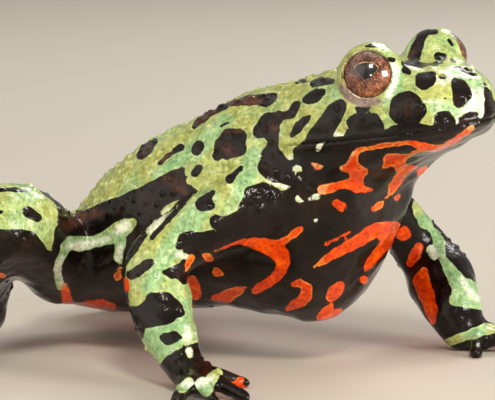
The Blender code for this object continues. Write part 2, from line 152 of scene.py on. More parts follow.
# Trunk: how far forward, middle, top, belly, half width, height of the widest line.
TRUNK = (
    (-3.0, 0.0, 7.6, 5.6, 1.0, 6.6),
    (-2.2, 0.0, 9.2, 4.6, 3.0, 6.8),
    (-0.6, 0.0, 11.2, 3.6, 5.0, 6.9),
    (1.6, 0.0, 12.9, 3.0, 6.9, 7.4),
    (4.5, 0.0, 15.4, 2.8, 8.6, 8.2),
    (7.5, 0.0, 18.5, 2.8, 10.2, 9.2),
    (11.0, 0.0, 20.8, 3.2, 11.6, 10.6),
    (15.0, 0.2, 22.7, 3.9, 12.2, 12.0),
    (20.0, 0.5, 25.3, 4.4, 12.1, 13.6),
    (25.0, 0.7, 26.9, 4.0, 11.2, 14.8),
    (28.5, 0.6, 27.5, 3.7, 10.1, 15.8),
    (31.0, 0.3, 28.0, 4.6, 9.2, 17.0),
    (33.5, 0.0, 28.3, 8.0, 8.2, 18.6),
    (36.5, -0.4, 28.0, 13.8, 6.6, 20.4),
)

# Upper jaw and skull: the same columns, measured from the head's own origin.
SKULL = (
    (-15.0, 0.0, 4.6, -3.0, 6.8, 0.8),
    (-12.5, 0.0, 5.6, -2.8, 8.2, 0.7),
    (-9.5, 0.0, 6.3, -2.4, 8.9, 0.6),
    (-6.0, 0.0, 6.6, -1.6, 9.1, 0.5),
    (-2.5, 0.0, 6.7, -1.0, 8.8, 0.4),
    (1.0, 0.0, 6.6, -0.8, 8.1, 0.4),
    (4.0, 0.0, 6.3, -0.7, 7.1, 0.4),
    (6.5, 0.0, 5.6, -0.6, 5.7, 0.6),
    (8.3, 0.0, 4.5, -0.4, 4.0, 0.8),
    (9.3, 0.0, 3.3, 0.0, 2.4, 1.0),
    (9.8, 0.0, 2.2, 0.6, 0.9, 1.3),
)

# Lower jaw and throat.
JAW = (
    (-12.0, 0.0, 0.0, -9.6, 7.4, -4.0),
    (-8.0, 0.0, 0.2, -8.4, 8.5, -2.4),
    (-4.0, 0.0, 0.2, -5.9, 8.6, -1.6),
    (-1.0, 0.0, 0.2, -4.0, 8.0, -1.2),
    (2.0, 0.0, 0.2, -2.7, 7.1, -0.9),
    (5.0, 0.0, 0.2, -1.7, 5.7, -0.6),
    (7.4, 0.0, 0.2, -1.0, 3.9, -0.4),
    (8.7, 0.0, 0.1, -0.5, 2.0, -0.2),
    (9.1, 0.0, 0.0, -0.3, 0.8, -0.1),
)

# Limb joints and the flesh round them: place, then radius. Fingers and toes are the places of their tips.
ARMS = {
    "right": (
        ((27.4, -5.0, 18.0), 3.6),
        ((26.4, -8.8, 16.6), 3.5),
        ((22.8, -12.6, 13.7), 3.0),
        ((19.8, -15.5, 10.6), 2.95),
        ((21.1, -16.8, 7.3), 3.1),
        ((23.8, -18.6, 4.2), 2.5),
        ((25.8, -19.9, 2.3), 2.0),
    ),
    "left": (
        ((28.4, 5.0, 16.6), 3.2),
        ((29.4, 8.8, 14.8), 3.0),
        ((31.0, 12.2, 11.8), 2.5),
        ((32.4, 14.2, 8.9), 2.8),
        ((34.6, 13.9, 6.4), 3.55),
        ((36.8, 12.3, 4.0), 3.1),
        ((38.2, 11.4, 2.2), 2.35),
    ),
}
PALMS = {"right": (28.0, -21.3, 1.3), "left": (39.8, 12.2, 1.3)}
FINGERS = {
    "right": ((30.8, -16.8), (34.4, -22.6), (34.2, -27.2), (31.2, -29.6)),
    "left": ((41.8, 8.2), (45.4, 12.2), (45.0, 16.6), (41.6, 19.4)),
}
LEGS = {
    "right": (
        ((3.8, -2.6, 8.2), 4.2),
        ((4.2, -7.5, 8.2), 4.0),
        ((4.8, -12.8, 11.0), 4.2),
        ((5.0, -18.0, 13.5), 4.25),
        ((4.8, -21.6, 13.5), 3.5),
    ),
}
SHANKS = {
    "right": (
        ((4.6, -21.8, 13.0), 3.1),
        ((1.0, -18.2, 10.2), 3.6),
        ((-1.8, -13.6, 7.4), 2.9),
        ((-3.6, -10.2, 4.2), 2.1),
    ),
}
TARSI = {
    "right": (
        ((-3.8, -9.8, 3.4), 2.0),
        ((-2.2, -13.2, 2.2), 1.8),
        ((-0.4, -16.6, 1.5), 1.9),
    ),
}
TOES = {"right": ((2.6, -19.4), (4.4, -23.0), (4.0, -28.0), (0.4, -31.0), (-4.4, -26.4))}
PALM_RADIUS = 1.7
TOE_RADIUS, FINGER_RADIUS = 0.72, 0.82
# A toe or finger: how far along it, how high over the line to its tip, and how thick, in its own radii.
TOE_SHAPE = ((0, 0, 1.45), (0.42, 0.55, 1.12), (0.74, 0.25, 0.9), (1, 0, 0.82))
TOE_TIP_HEIGHT = 0.55
# A limb's rounded end: how far past its last place and how thick, in its last radius.
ROUND_END = ((0.55, 0.72), (0.85, 0.3))
THIN_SIDES, LIMB_SIDES = 4, 6
WEB_THICK, WEB_LIFT = 0.62, 0.05
WEB_SHARE, WEB_BAY = 0.8, 0.66


def mirrored(chain):
    """The left side's chain of a right one, given as (place, radius) or as a plain place."""
    return tuple(
        ((one[0], -one[1], one[2]), two) if isinstance(one, tuple) else (one, -two) for one, two in chain
    )


for limb in (LEGS, SHANKS, TARSI, TOES):
    limb["left"] = mirrored(limb["right"])


def head_matrix():
    turn = Matrix.Rotation(HEAD_YAW, 4, "Z") @ Matrix.Rotation(-HEAD_PITCH, 4, "Y")
    return Matrix.Translation(HEAD_ORIGIN) @ turn @ Matrix.Rotation(HEAD_ROLL, 4, "X")


HEAD = head_matrix()


def on_head(place, side=1):
    """A point measured on the head's left, or mirrored to its right, in the toad's frame."""
    return HEAD @ Vector((place[0], side * place[1], place[2]))


# Forms of flesh


def smooth_rows(rows, steps):
    """More rows between the given ones, on a Catmull-Rom curve through them."""
    rows = np.array(rows, float)
    ends = np.vstack([2 * rows[0] - rows[1], rows, 2 * rows[-1] - rows[-2]])
    found = []
    for i in range(1, len(ends) - 2):
        a, b, c, d = ends[i - 1 : i + 3]
        for t in np.arange(steps) / steps:
            slope = (c - a) + (2 * a - 5 * b + 4 * c - d) * t + (3 * b - a - 3 * c + d) * t * t
            found.append(b + 0.5 * slope * t)
    found.append(rows[-1])
    return np.array(found)


def from_bmesh(name, bm):
    mesh = bpy.data.meshes.new(name)
    bm.to_mesh(mesh)
    bm.free()
    return new_object(name, mesh)


def new_object(name, data):
    obj = bpy.data.objects.new(name, data)
    bpy.context.scene.collection.objects.link(obj)
    return obj


def loft(name, rows, matrix=None, above=2.2, below=2.0, around=48, steps=6):
    """A closed form through upright sections. above and below say how square each half is."""
    bm = bmesh.new()
    rings = []
    for x, middle, top, bottom, half, wide in smooth_rows(rows, steps):
        ring = []
        for k in range(around):
            angle = 2 * math.pi * k / around
            c, s = math.cos(angle), math.sin(angle)
            square = above if s > 0 else below
            reach = top - wide if s > 0 else wide - bottom
            y = middle + half * math.copysign(abs(c) ** (2 / square), c)
            z = wide + reach * math.copysign(abs(s) ** (2 / square), s)
            ring.append(bm.verts.new((x, y, z)))
        rings.append(ring)
    for a, b in zip(rings, rings[1:]):
        for k in range(around):
            bm.faces.new((a[k], a[k - 1], b[k - 1], b[k]))
    bm.faces.new(rings[0])
    bm.faces.new(rings[-1])
    bmesh.ops.recalc_face_normals(bm, faces=bm.faces)
    if matrix is not None:
        bm.transform(matrix)
    return from_bmesh(name, bm)


def evaluated_mesh(obj):
    bpy.context.view_layer.update()
    graph = bpy.context.evaluated_depsgraph_get()
    return bpy.data.meshes.new_from_object(obj.evaluated_get(graph), depsgraph=graph)


def applied(obj):
    """The object with its modifiers made part of its mesh."""
    mesh = evaluated_mesh(obj)
    obj.modifiers.clear()
    obj.data = mesh
    return obj


def meshed(holder):
    """The curve object as a mesh object with welded caps."""
    mesh = evaluated_mesh(holder)
    mesh.transform(holder.matrix_world)
    name = holder.name
    bpy.data.objects.remove(holder)
    bm = bmesh.new()
    bm.from_mesh(mesh)
    bpy.data.meshes.remove(mesh)
    bmesh.ops.remove_doubles(bm, verts=bm.verts, dist=0.01)
    return from_bmesh(name, bm)


def tube(name, chain, sides=THIN_SIDES):
    """A tapered limb through the chain's places, with a rounded end."""
    last, radius = Vector(chain[-1][0]), chain[-1][1]
    along = (last - Vector(chain[-2][0])).normalized()
    chain = [*chain, *((last + along * radius * past, radius * thick) for past, thick in ROUND_END)]
    curve = bpy.data.curves.new(name, "CURVE")
    curve.dimensions = "3D"
    curve.bevel_depth = 1
    curve.bevel_resolution = sides
    curve.resolution_u = 8
    curve.use_fill_caps = True
    line = curve.splines.new("BEZIER")
    line.bezier_points.add(len(chain) - 1)
    for point, (place, radius) in zip(line.bezier_points, chain):
        point.co = Vector(place)
        point.radius = radius
        point.handle_left_type = point.handle_right_type = "AUTO"
    return meshed(new_object(name, curve))


def ball(name, place, radius, segments=32):
    bm = bmesh.new()
    bmesh.ops.create_uvsphere(bm, u_segments=segments, v_segments=segments // 2, radius=radius)
    bm.transform(Matrix.Translation(Vector(place)))
    return from_bmesh(name, bm)


def toe_chain(root, tip, radius):
    """A toe or finger from inside the palm, over its knuckle and down to a tip on the floor."""
    root, tip = Vector(root), Vector((*tip, radius * TOE_TIP_HEIGHT))
    return tuple(
        (root.lerp(tip, share) + Vector((0, 0, rise * radius)), radius * thick)
        for share, rise, thick in TOE_SHAPE
    )


def web(name, root, tips):
    """The skin between neighbouring toes, as one flat outline with a bay between each two."""
    root = Vector((root[0], root[1], 0))
    ends = [root.lerp(Vector((*tip, 0)), WEB_SHARE) for tip in tips]
    outline = [root, ends[0]]
    for before, here in zip(ends, ends[1:]):
        outline += [root.lerp((before + here) / 2, WEB_BAY), here]
    curve = bpy.data.curves.new(name, "CURVE")
    curve.dimensions = "2D"
    curve.fill_mode = "BOTH"
    curve.extrude = WEB_THICK / 2
    line = curve.splines.new("POLY")
    line.points.add(len(outline) - 1)
    for point, place in zip(line.points, outline):
        point.co = (place.x, place.y, 0, 1)
    line.use_cyclic_u = True
    holder = new_object(name, curve)
    holder.location.z = WEB_THICK / 2 + WEB_LIFT
    bpy.context.view_layer.update()
    return meshed(holder)


def flesh_forms():
    """Every form of flesh, overlapping, before they are fused."""
    forms = [
        loft("trunk", TRUNK, above=2.1, below=2.1),
        loft("skull", SKULL, HEAD, above=2.5, below=2.0),
        loft("jaw", JAW, HEAD, above=3.0, below=2.1),
    ]
    for side, sign in SIDES:
        foot = TARSI[side][-1][0]
        forms.append(ball("lid_" + side, on_head(EYE_PLACE, sign), LID_RADIUS))
        forms.append(tube("arm_" + side, ARMS[side], LIMB_SIDES))
        forms.append(tube("palm_" + side, (ARMS[side][-1], (PALMS[side], PALM_RADIUS))))
        for i, tip in enumerate(FINGERS[side]):
            forms.append(tube(f"finger_{side}_{i}", toe_chain(PALMS[side], tip, FINGER_RADIUS)))
        forms.append(tube("thigh_" + side, LEGS[side], LIMB_SIDES))
        forms.append(tube("shank_" + side, SHANKS[side], LIMB_SIDES))
        forms.append(tube("tarsus_" + side, TARSI[side]))
        for i, tip in enumerate(TOES[side]):
            forms.append(tube(f"toe_{side}_{i}", toe_chain(foot, tip, TOE_RADIUS)))
        forms.append(web("web_" + side, foot, TOES[side]))
    return forms


def joined(forms, name):
    bm = bmesh.new()
    for form in forms:
        bm.from_mesh(form.data)
        bpy.data.objects.remove(form)
    return from_bmesh(name, bm)


def remeshed(obj, voxel):
    """The object as one closed mesh of even cells, with no wall left inside it."""
    remesh = obj.modifiers.new("fuse", "REMESH")
    remesh.mode = "VOXEL"
    remesh.voxel_size = voxel
    return applied(obj)


def read(mesh, what="co"):
    values = np.empty(len(mesh.vertices) * 3)
    mesh.vertices.foreach_get(what, values)
    return values.reshape(-1, 3)


def write(mesh, co):
    mesh.vertices.foreach_set("co", co.ravel())
    mesh.update()


def set_attribute(mesh, name, values):
    attribute = mesh.attributes.get(name) or mesh.attributes.new(name, "FLOAT", "POINT")
    attribute.data.foreach_set("value", np.asarray(values, np.float32))


def edge_links(mesh):
    """The vertices at both ends of each edge, and how many edges meet at each vertex."""
    edges = np.empty(len(mesh.edges) * 2, np.int64)
    mesh.edges.foreach_get("vertices", edges)
    count = np.maximum(np.bincount(edges, minlength=len(mesh.vertices)), 1)
    return (*edges.reshape(-1, 2).T, count)


def neighbour_mean(values, links):
    """The mean of each vertex's neighbours, for one value or a row of them at each vertex."""
    a, b, count = links
    columns = values.reshape(len(values), -1)
    total = np.empty_like(columns)
    for k in range(columns.shape[1]):
        total[:, k] = np.bincount(a, columns[b, k], len(columns))
        total[:, k] += np.bincount(b, columns[a, k], len(columns))
    return (total / count[:, None]).reshape(values.shape)


def fill_creases(obj, rounds, hollow, ridge):
    """Draws the surface together as skin does: hollows fill and ridges hardly shrink."""
    mesh = obj.data
    co, links = read(mesh), edge_links(mesh)
    for _ in range(rounds):
        write(mesh, co)
        normals = read(mesh, "normal")
        pull = neighbour_mean(co, links) - co
        out = (pull * normals).sum(1, keepdims=True)
        co = co + 0.5 * (pull - out * normals) + out * normals * np.where(out > 0, hollow, ridge)
    write(mesh, co)


def smooth(obj, rounds):
    """Evens the mesh out without shrinking it: each step in is followed by a slightly longer step out."""
    co, links = read(obj.data), edge_links(obj.data)
    for _ in range(rounds):
        for step in (0.5, -0.52):
            co = co + step * (neighbour_mean(co, links) - co)
    write(obj.data, co)


def keep_above_floor(obj):
    co = read(obj.data)
    co[:, 2] = np.maximum(co[:, 2], 0)
    write(obj.data, co)


def thinned(obj, triangles):
    """The object with about this many triangles."""
    thin = obj.modifiers.new("thin", "DECIMATE")
    thin.ratio = triangles / sum(len(face.vertices) - 2 for face in obj.data.polygons)
    thin.use_collapse_triangulate = True
    return applied(obj)


# Camera


def view_axes():
    """The camera's right, up and back, and its place."""
    azimuth, rise = math.radians(VIEW_AZIMUTH), math.radians(VIEW_RISE)
    right = Vector((math.cos(azimuth), math.sin(azimuth), 0))
    level = Vector((math.sin(azimuth), -math.cos(azimuth), 0))
    back = level * math.cos(rise) + Vector((0, 0, math.sin(rise)))
    up = back.cross(right)
    across = (AIM_PIXEL[0] - FRAME_SIZE[0] / 2) / PIXELS_PER_MM
    above = (FRAME_SIZE[1] / 2 - AIM_PIXEL[1]) / PIXELS_PER_MM
    return right, up, back, AIM - across * right - above * up + VIEW_DISTANCE * back


VIEW_RIGHT, VIEW_UP, VIEW_BACK, VIEW_PLACE = view_axes()
FOCAL_PIXELS = PIXELS_PER_MM * VIEW_DISTANCE


def to_photo(co):
    """Pixel across, pixel down and depth in millimetres of each place."""
    away = co - np.array(VIEW_PLACE)
    depth = -away @ np.array(VIEW_BACK)
    across = FRAME_SIZE[0] / 2 + FOCAL_PIXELS * (away @ np.array(VIEW_RIGHT)) / depth
    down = FRAME_SIZE[1] / 2 - FOCAL_PIXELS * (away @ np.array(VIEW_UP)) / depth
    return across, down, depth


def photo_ray(across, down):
    """The direction from the camera through a pixel, one unit deep."""
    x = (across - FRAME_SIZE[0] / 2) / FOCAL_PIXELS
    y = (FRAME_SIZE[1] / 2 - down) / FOCAL_PIXELS
    return x * VIEW_RIGHT + y * VIEW_UP - VIEW_BACK


# Fine shapes of the skin


def rise_and_fall(x):
    """One at zero, falling smoothly to nothing at one and beyond."""
    x = np.clip(x, 0, 1)
    return 1 - x * x * (3 - 2 * x)


def distance(co, place):
    return np.linalg.norm(co - np.array(place), axis=1)


def patches(co, size, offset):
    """Soft random blotches of about a size in millimetres, from -1 to 1."""
    offset = Vector(offset)
    return np.array([noise.noise(Vector(place) / size + offset) for place in co])


def head_places(co):
    """Each place measured on the head."""
    back = HEAD.inverted()
    return co @ np.array(back.to_3x3()).T + np.array(back.translation)


def eye_axes(sign):
    """The eye's place and its own right, up and gaze, with sign -1 for the right eye."""
    place = on_head(EYE_PLACE, sign)
    gaze = (on_head(EYE_PLACE + GAZE, sign) - place).normalized()
    up = (Vector((0, 0, 1)) - gaze * gaze.z).normalized()
    return place, up.cross(gaze), up, gaze


def in_eye(co, sign):
    """Each place in the eye's own millimetres: right, up and along the gaze."""
    place, right, up, gaze = (np.array(v) for v in eye_axes(sign))
    away = co - place
    return away @ right, away @ up, away @ gaze


def eye_hollows(obj):
    """Sinks the skin inside each lid's opening, with the edge drawn onto a clean ring."""
    co = read(obj.data)
    for _, sign in SIDES:
        x, y, out = in_eye(co, sign)
        place, right, up, gaze = (np.array(v) for v in eye_axes(sign))
        across = np.hypot(x, y)
        near = (out > 0) & (across < LID_RADIUS) & (np.hypot(across, out) < LID_RADIUS + SOCKET_REACH)
        edge = near & (abs(across - LID_RING) < LID_EDGE)
        scale = np.where(edge, LID_RING / np.maximum(across, 1e-6), 1.0)
        x, y = x * scale, y * scale
        inside = near & ~edge & (across < LID_RING)
        out = np.where(inside, np.minimum(out, SOCKET_FLOOR), out)
        moved = place + x[:, None] * right + y[:, None] * up + out[:, None] * gaze
        co = np.where(near[:, None], moved, co)
    write(obj.data, co)


def nostrils_and_loose_skin(obj):
    """Nostrils with raised rims, and the soft unevenness of loose skin."""
    mesh = obj.data
    co, normals = read(mesh), read(mesh, "normal")
    lift = np.zeros(len(co))
    inside = np.full(len(co), -1.0)
    for _, sign in SIDES:
        middle = co[np.argmin(distance(co, on_head(NOSTRIL_PLACE, sign)))]
        away = distance(co, middle)
        lift -= NOSTRIL_DEPTH * rise_and_fall(away / NOSTRIL_RADIUS / NOSTRIL_DENT)
        lift += NOSTRIL_RIM * rise_and_fall(abs(away - NOSTRIL_RING * NOSTRIL_RADIUS) / NOSTRIL_RIM_HALF)
        # How far inside the painted shade of the open nostril.
        inside = np.maximum(inside, NOSTRIL_SHADE * NOSTRIL_RADIUS - away)
    set_attribute(mesh, "nostril", inside)
    for k, (size, height) in enumerate(LOOSE_SKIN):
        lift += height * patches(co, size, (11.0 * k, 5.0, 3.0))
    write(mesh, co + normals * lift[:, None])


def mouth_line(obj):
    """Cuts three loops along the mouth and sinks the middle one between two lips."""
    mesh = obj.data
    bm = bmesh.new()
    bm.from_mesh(mesh)
    bm.transform(Matrix.Translation((0, 0, -MOUTH)) @ HEAD.inverted())
    for height in (-LIP_WIDTH, 0.0, LIP_WIDTH):
        near = []
        for face in bm.faces:
            middle = face.calc_center_median()
            if middle.x > MOUTH_BACK and abs(middle.z - height) < MOUTH_ZONE / 2:
                near.append(face)
        edges = {edge for face in near for edge in face.edges}
        verts = {vert for face in near for vert in face.verts}
        bmesh.ops.bisect_plane(
            bm, geom=[*near, *edges, *verts], dist=CUT_SNAP, plane_co=(0, 0, height), plane_no=(0, 0, 1)
        )
    bm.normal_update()
    moves = []
    for vert in bm.verts:
        if vert.co.x > MOUTH_BACK and abs(vert.co.z) < MOUTH_ZONE:
            corner = min(1.0, (vert.co.x - MOUTH_BACK) / MOUTH_EASE)
            lip = max(0.0, 1 - abs(abs(vert.co.z) - LIP_MIDDLE) / LIP_REACH)
            step = -MOUTH_DEPTH if abs(vert.co.z) < CUT_MIDDLE else LIP_RISE * lip
            moves.append((vert, vert.normal * step * corner))
    for vert, step in moves:
        vert.co += step
    bm.transform(HEAD @ Matrix.Translation((0, 0, MOUTH)))
    bm.to_mesh(mesh)
    bm.free()


def limb_share(co):
    """One on the arms and legs, nothing on the trunk and head."""
    nearest = np.full(len(co), 99.0)
    for side, _ in SIDES:
        chains = [ARMS[side][2:], LEGS[side][2:], SHANKS[side], TARSI[side]]
        chains += [((PALMS[side], PALM_RADIUS), ((*tip, TIP_HEIGHT), FINGER_TIP)) for tip in FINGERS[side]]
        chains += [(TARSI[side][-1], ((*tip, TIP_HEIGHT), TOE_TIP)) for tip in TOES[side]]
        for chain in chains:
            for (one, r), (two, s) in zip(chain, chain[1:]):
                one, two = np.array(one), np.array(two)
                share = np.clip((co - one) @ (two - one) / ((two - one) @ (two - one)), 0, 1)
                away = np.linalg.norm(co - one - share[:, None] * (two - one), axis=1)
                nearest = np.minimum(nearest, away - r - share * (s - r))
    return np.clip(LIMB_REACH - nearest, 0, 1)


def warty_share(obj):
    """Where warts grow: thick on the back, fewer on head and limbs, hardly any on throat, belly and lids."""
    co, normals = read(obj.data), read(obj.data, "normal")
    share = np.clip((co[:, 2] - np.interp(co[:, 0], *BACK_LINE) + 5) / 5, 0.02, 1)
    share = np.where(limb_share(co) > 0.5, np.clip(0.35 + 0.4 * normals[:, 2], 0.04, 0.6), share)
    head = head_places(co)
    share = np.where(head[:, 0] > HEAD_WARTS, np.where(head[:, 2] > MOUTH + WARTY_LIP, 0.3, 0.002), share)
    forward, out, high = SHOULDER_WARTS
    for _, sign in SIDES:
        share = np.where(distance(co, on_head(EYE_PLACE, sign)) < LID_RADIUS + 0.5, 0.03, share)
        share = np.where(distance(co, (forward, sign * out, high)) < SHOULDER_REACH, 0.8, share)
    set_attribute(obj.data, "warty", np.where(co[:, 2] < 2.2, 0.04 * share, share))


def fill(tree, node, inputs):
    """Gives each input its value, or a link from another node's output."""
    for key, value in inputs.items():
        if isinstance(value, bpy.types.NodeSocket):
            tree.links.new(value, node.inputs[key])
        else:
            node.inputs[key].default_value = value


def add(tree, kind, inputs=None, stops=(), **settings):
    """A new node with its settings, inputs and, on a colour ramp, stops."""
    node = tree.nodes.new(kind)
    for name, value in settings.items():
        setattr(node, name, value)
    fill(tree, node, inputs or {})
    for i, (place, colour) in enumerate(stops):
        bar = node.color_ramp.elements
        element = bar[i] if i < 2 else bar.new(place)
        element.position, element.color = place, linear(colour)
    return node


def wart_tree():
    """Warts strewn at least a spacing apart, each a smooth dome, fewer where the skin is smooth."""
    tree = bpy.data.node_groups.new("warts", "GeometryNodeTree")
    for name, kind in (
        ("Skin", "Geometry"), ("Spacing", "Float"), ("Radius", "Float"), ("Height", "Float"),
        ("Seed", "Int"), ("Material", "Material"),
    ):
        tree.interface.new_socket(name, in_out="INPUT", socket_type="NodeSocket" + kind)
    tree.interface.new_socket("Skin", in_out="OUTPUT", socket_type="NodeSocketGeometry")
    given = add(tree, "NodeGroupInput").outputs
    warty = add(tree, "GeometryNodeInputNamedAttribute", {"Name": "warty"}, data_type="FLOAT").outputs[0]
    strewn = add(
        tree, "GeometryNodeDistributePointsOnFaces",
        {"Mesh": given["Skin"], "Distance Min": given["Spacing"], "Density Max": WARTS_PER_SQUARE,
         "Density Factor": warty, "Seed": given["Seed"]},
        distribute_method="POISSON",
    ).outputs["Points"]
    size = add(
        tree, "FunctionNodeRandomValue",
        {"Min": WART_SIZES[0], "Max": WART_SIZES[1], "Seed": given["Seed"]}, data_type="FLOAT",
    )
    size = next(socket for socket in size.outputs if socket.enabled)
    place = add(tree, "GeometryNodeInputPosition").outputs[0]
    nearest = add(
        tree, "GeometryNodeSampleNearest", {"Geometry": strewn, "Sample Position": place}, domain="POINT"
    ).outputs[0]
    own, centre = (
        add(
            tree, "GeometryNodeSampleIndex", {"Geometry": strewn, "Value": value, "Index": nearest},
            data_type=kind, domain="POINT",
        ).outputs[0]
        for value, kind in ((size, "FLOAT"), (place, "FLOAT_VECTOR"))
    )
    away = add(tree, "ShaderNodeVectorMath", {0: place, 1: centre}, operation="DISTANCE").outputs["Value"]
    radius = add(tree, "ShaderNodeMath", {0: own, 1: given["Radius"]}, operation="MULTIPLY").outputs[0]
    dome = add(
        tree, "ShaderNodeMapRange",
        {"Value": away, "From Min": 0.0, "From Max": radius, "To Min": 1.0, "To Max": 0.0},
        interpolation_type="SMOOTHSTEP",
    ).outputs[0]
    rise = dome
    for factor in (given["Height"], own):
        rise = add(tree, "ShaderNodeMath", {0: rise, 1: factor}, operation="MULTIPLY").outputs[0]
    normal = add(tree, "GeometryNodeInputNormal").outputs[0]
    offset = add(tree, "ShaderNodeVectorMath", {0: normal, "Scale": rise}, operation="SCALE").outputs[0]
    skin = add(
        tree, "GeometryNodeStoreNamedAttribute", {"Geometry": given["Skin"], "Name": "wart", "Value": dome},
        data_type="FLOAT", domain="POINT",
    ).outputs[0]
    skin = add(tree, "GeometryNodeSetPosition", {"Geometry": skin, "Offset": offset}).outputs[0]
    skin = add(tree, "GeometryNodeRealizeInstances", {"Geometry": skin}).outputs[0]
    skin = add(tree, "GeometryNodeSetMaterial", {"Geometry": skin, "Material": given["Material"]}).outputs[0]
    add(tree, "NodeGroupOutput", {"Skin": skin})
    return tree


def with_warts(obj, material):
    """The object's mesh after the wart tree, as a plain mesh."""
    modifier = obj.modifiers.new("warts", "NODES")
    modifier.node_group = wart_tree()
    given = {**WARTS, "Material": material}
    for item in modifier.node_group.interface.items_tree:
        if item.in_out == "INPUT" and item.name in given:
            modifier[item.identifier] = given[item.name]
    return applied(obj)


# Markings and a few painted highlights and shades, in pixels of the 495 x 400 frame: each stroke is a chain
# of discs (across, down, radius)

GREEN_GROUND = {
    "near arm": (
        (212, 200, 22), (196, 218, 24), (168, 250, 24), (152, 275, 26), (160, 300, 30), (162, 325, 26),
        (162, 348, 20),
    ),
    "near arm front": ((178, 290, 14), (190, 320, 10), (190, 338, 9)),
    "flank above the arm": ((256, 165, 13), (240, 185, 14), (236, 205, 8), (236, 217, 5)),
    "flank to shoulder": ((258, 168, 10), (268, 176, 6), (277, 181, 5), (284, 185, 5.5), (289, 189, 4.5)),
    "knee": ((0, 205, 24), (20, 205, 24), (40, 215, 18), (48, 232, 10), (52, 248, 5)),
    "snout rim": ((479, 82, 5), (484, 95, 4), (485, 108, 4), (482, 118, 3)),
}
# Green marks on the black, with one painted highlight at the wrist.
GREEN_MARKS_AND_HIGHLIGHT = {
    "flank chain": (
        (132, 223, 5), (125, 227, 8), (118, 231, 8.5), (108, 237, 7), (98, 241, 5.5), (88, 243, 6),
        (79, 244, 7), (71, 243, 6), (66, 247, 5), (63, 255, 3.5), (59, 262, 3.5), (57, 270, 3),
        (59, 280, 4), (61, 286, 4),
    ),
    "flank branch": ((120, 230, 7), (121, 245, 6), (119, 257, 5), (123, 266, 4)),
    "streak": ((149, 231, 3), (156, 222, 4.5), (163, 215, 4.5), (170, 209, 2.5)),
    "shoulder speck": ((292, 169, 1), (296, 168.5, 3), (301, 169, 2)),
    "white speck": ((298.4, 179, 3),),
    "tongue": ((286, 124, 4.5), (284, 135, 4.5), (285, 146, 6), (289, 155, 3.5), (291, 160, 1.5)),
    "tongue foot": ((290, 146, 4), (297, 142, 2.8), (303, 138, 3)),
    "cheek comma": ((318, 150, 2.4), (319, 146, 2.2), (325, 142.5, 0.8)),
    "front pale": ((310, 199, 1.5), (316, 197, 2.5), (322, 194, 2)),
    "front wedge": ((297, 197, 1.5), (299, 201, 2.5), (305, 200, 1)),
    "low speck": ((316, 221, 2.4),),
    "lip speck": ((457, 120, 1), (457, 124, 1.3)),
    "hand left": ((182, 388, 5), (189, 382, 5)),
    "hand right": ((202, 384, 7), (206, 390, 6), (213, 377, 5), (218, 372, 3)),
    # Painted highlight: a near-white patch for the wet gleam on the wrist.
    "wrist highlight": ((189, 351, 3.5), (190, 355.5, 2.5)),
    "far arm top": ((414, 201, 3), (419, 212, 5), (425, 222, 6), (429, 226, 4)),
    "far arm edge": ((434, 232, 4), (440, 243, 5), (441, 253, 4.5)),
    "far arm white": ((431, 250, 4.5), (434, 256, 4)),
    "far forearm": (
        (444, 261, 4), (450, 270, 5.5), (457, 281, 8), (466, 292, 13), (474, 298, 10), (480, 303, 6),
        (455, 300, 6),
    ),
    "far hand": ((447, 343, 4), (460, 338, 4), (473, 334, 5), (486, 329, 5), (497, 328, 5)),
}
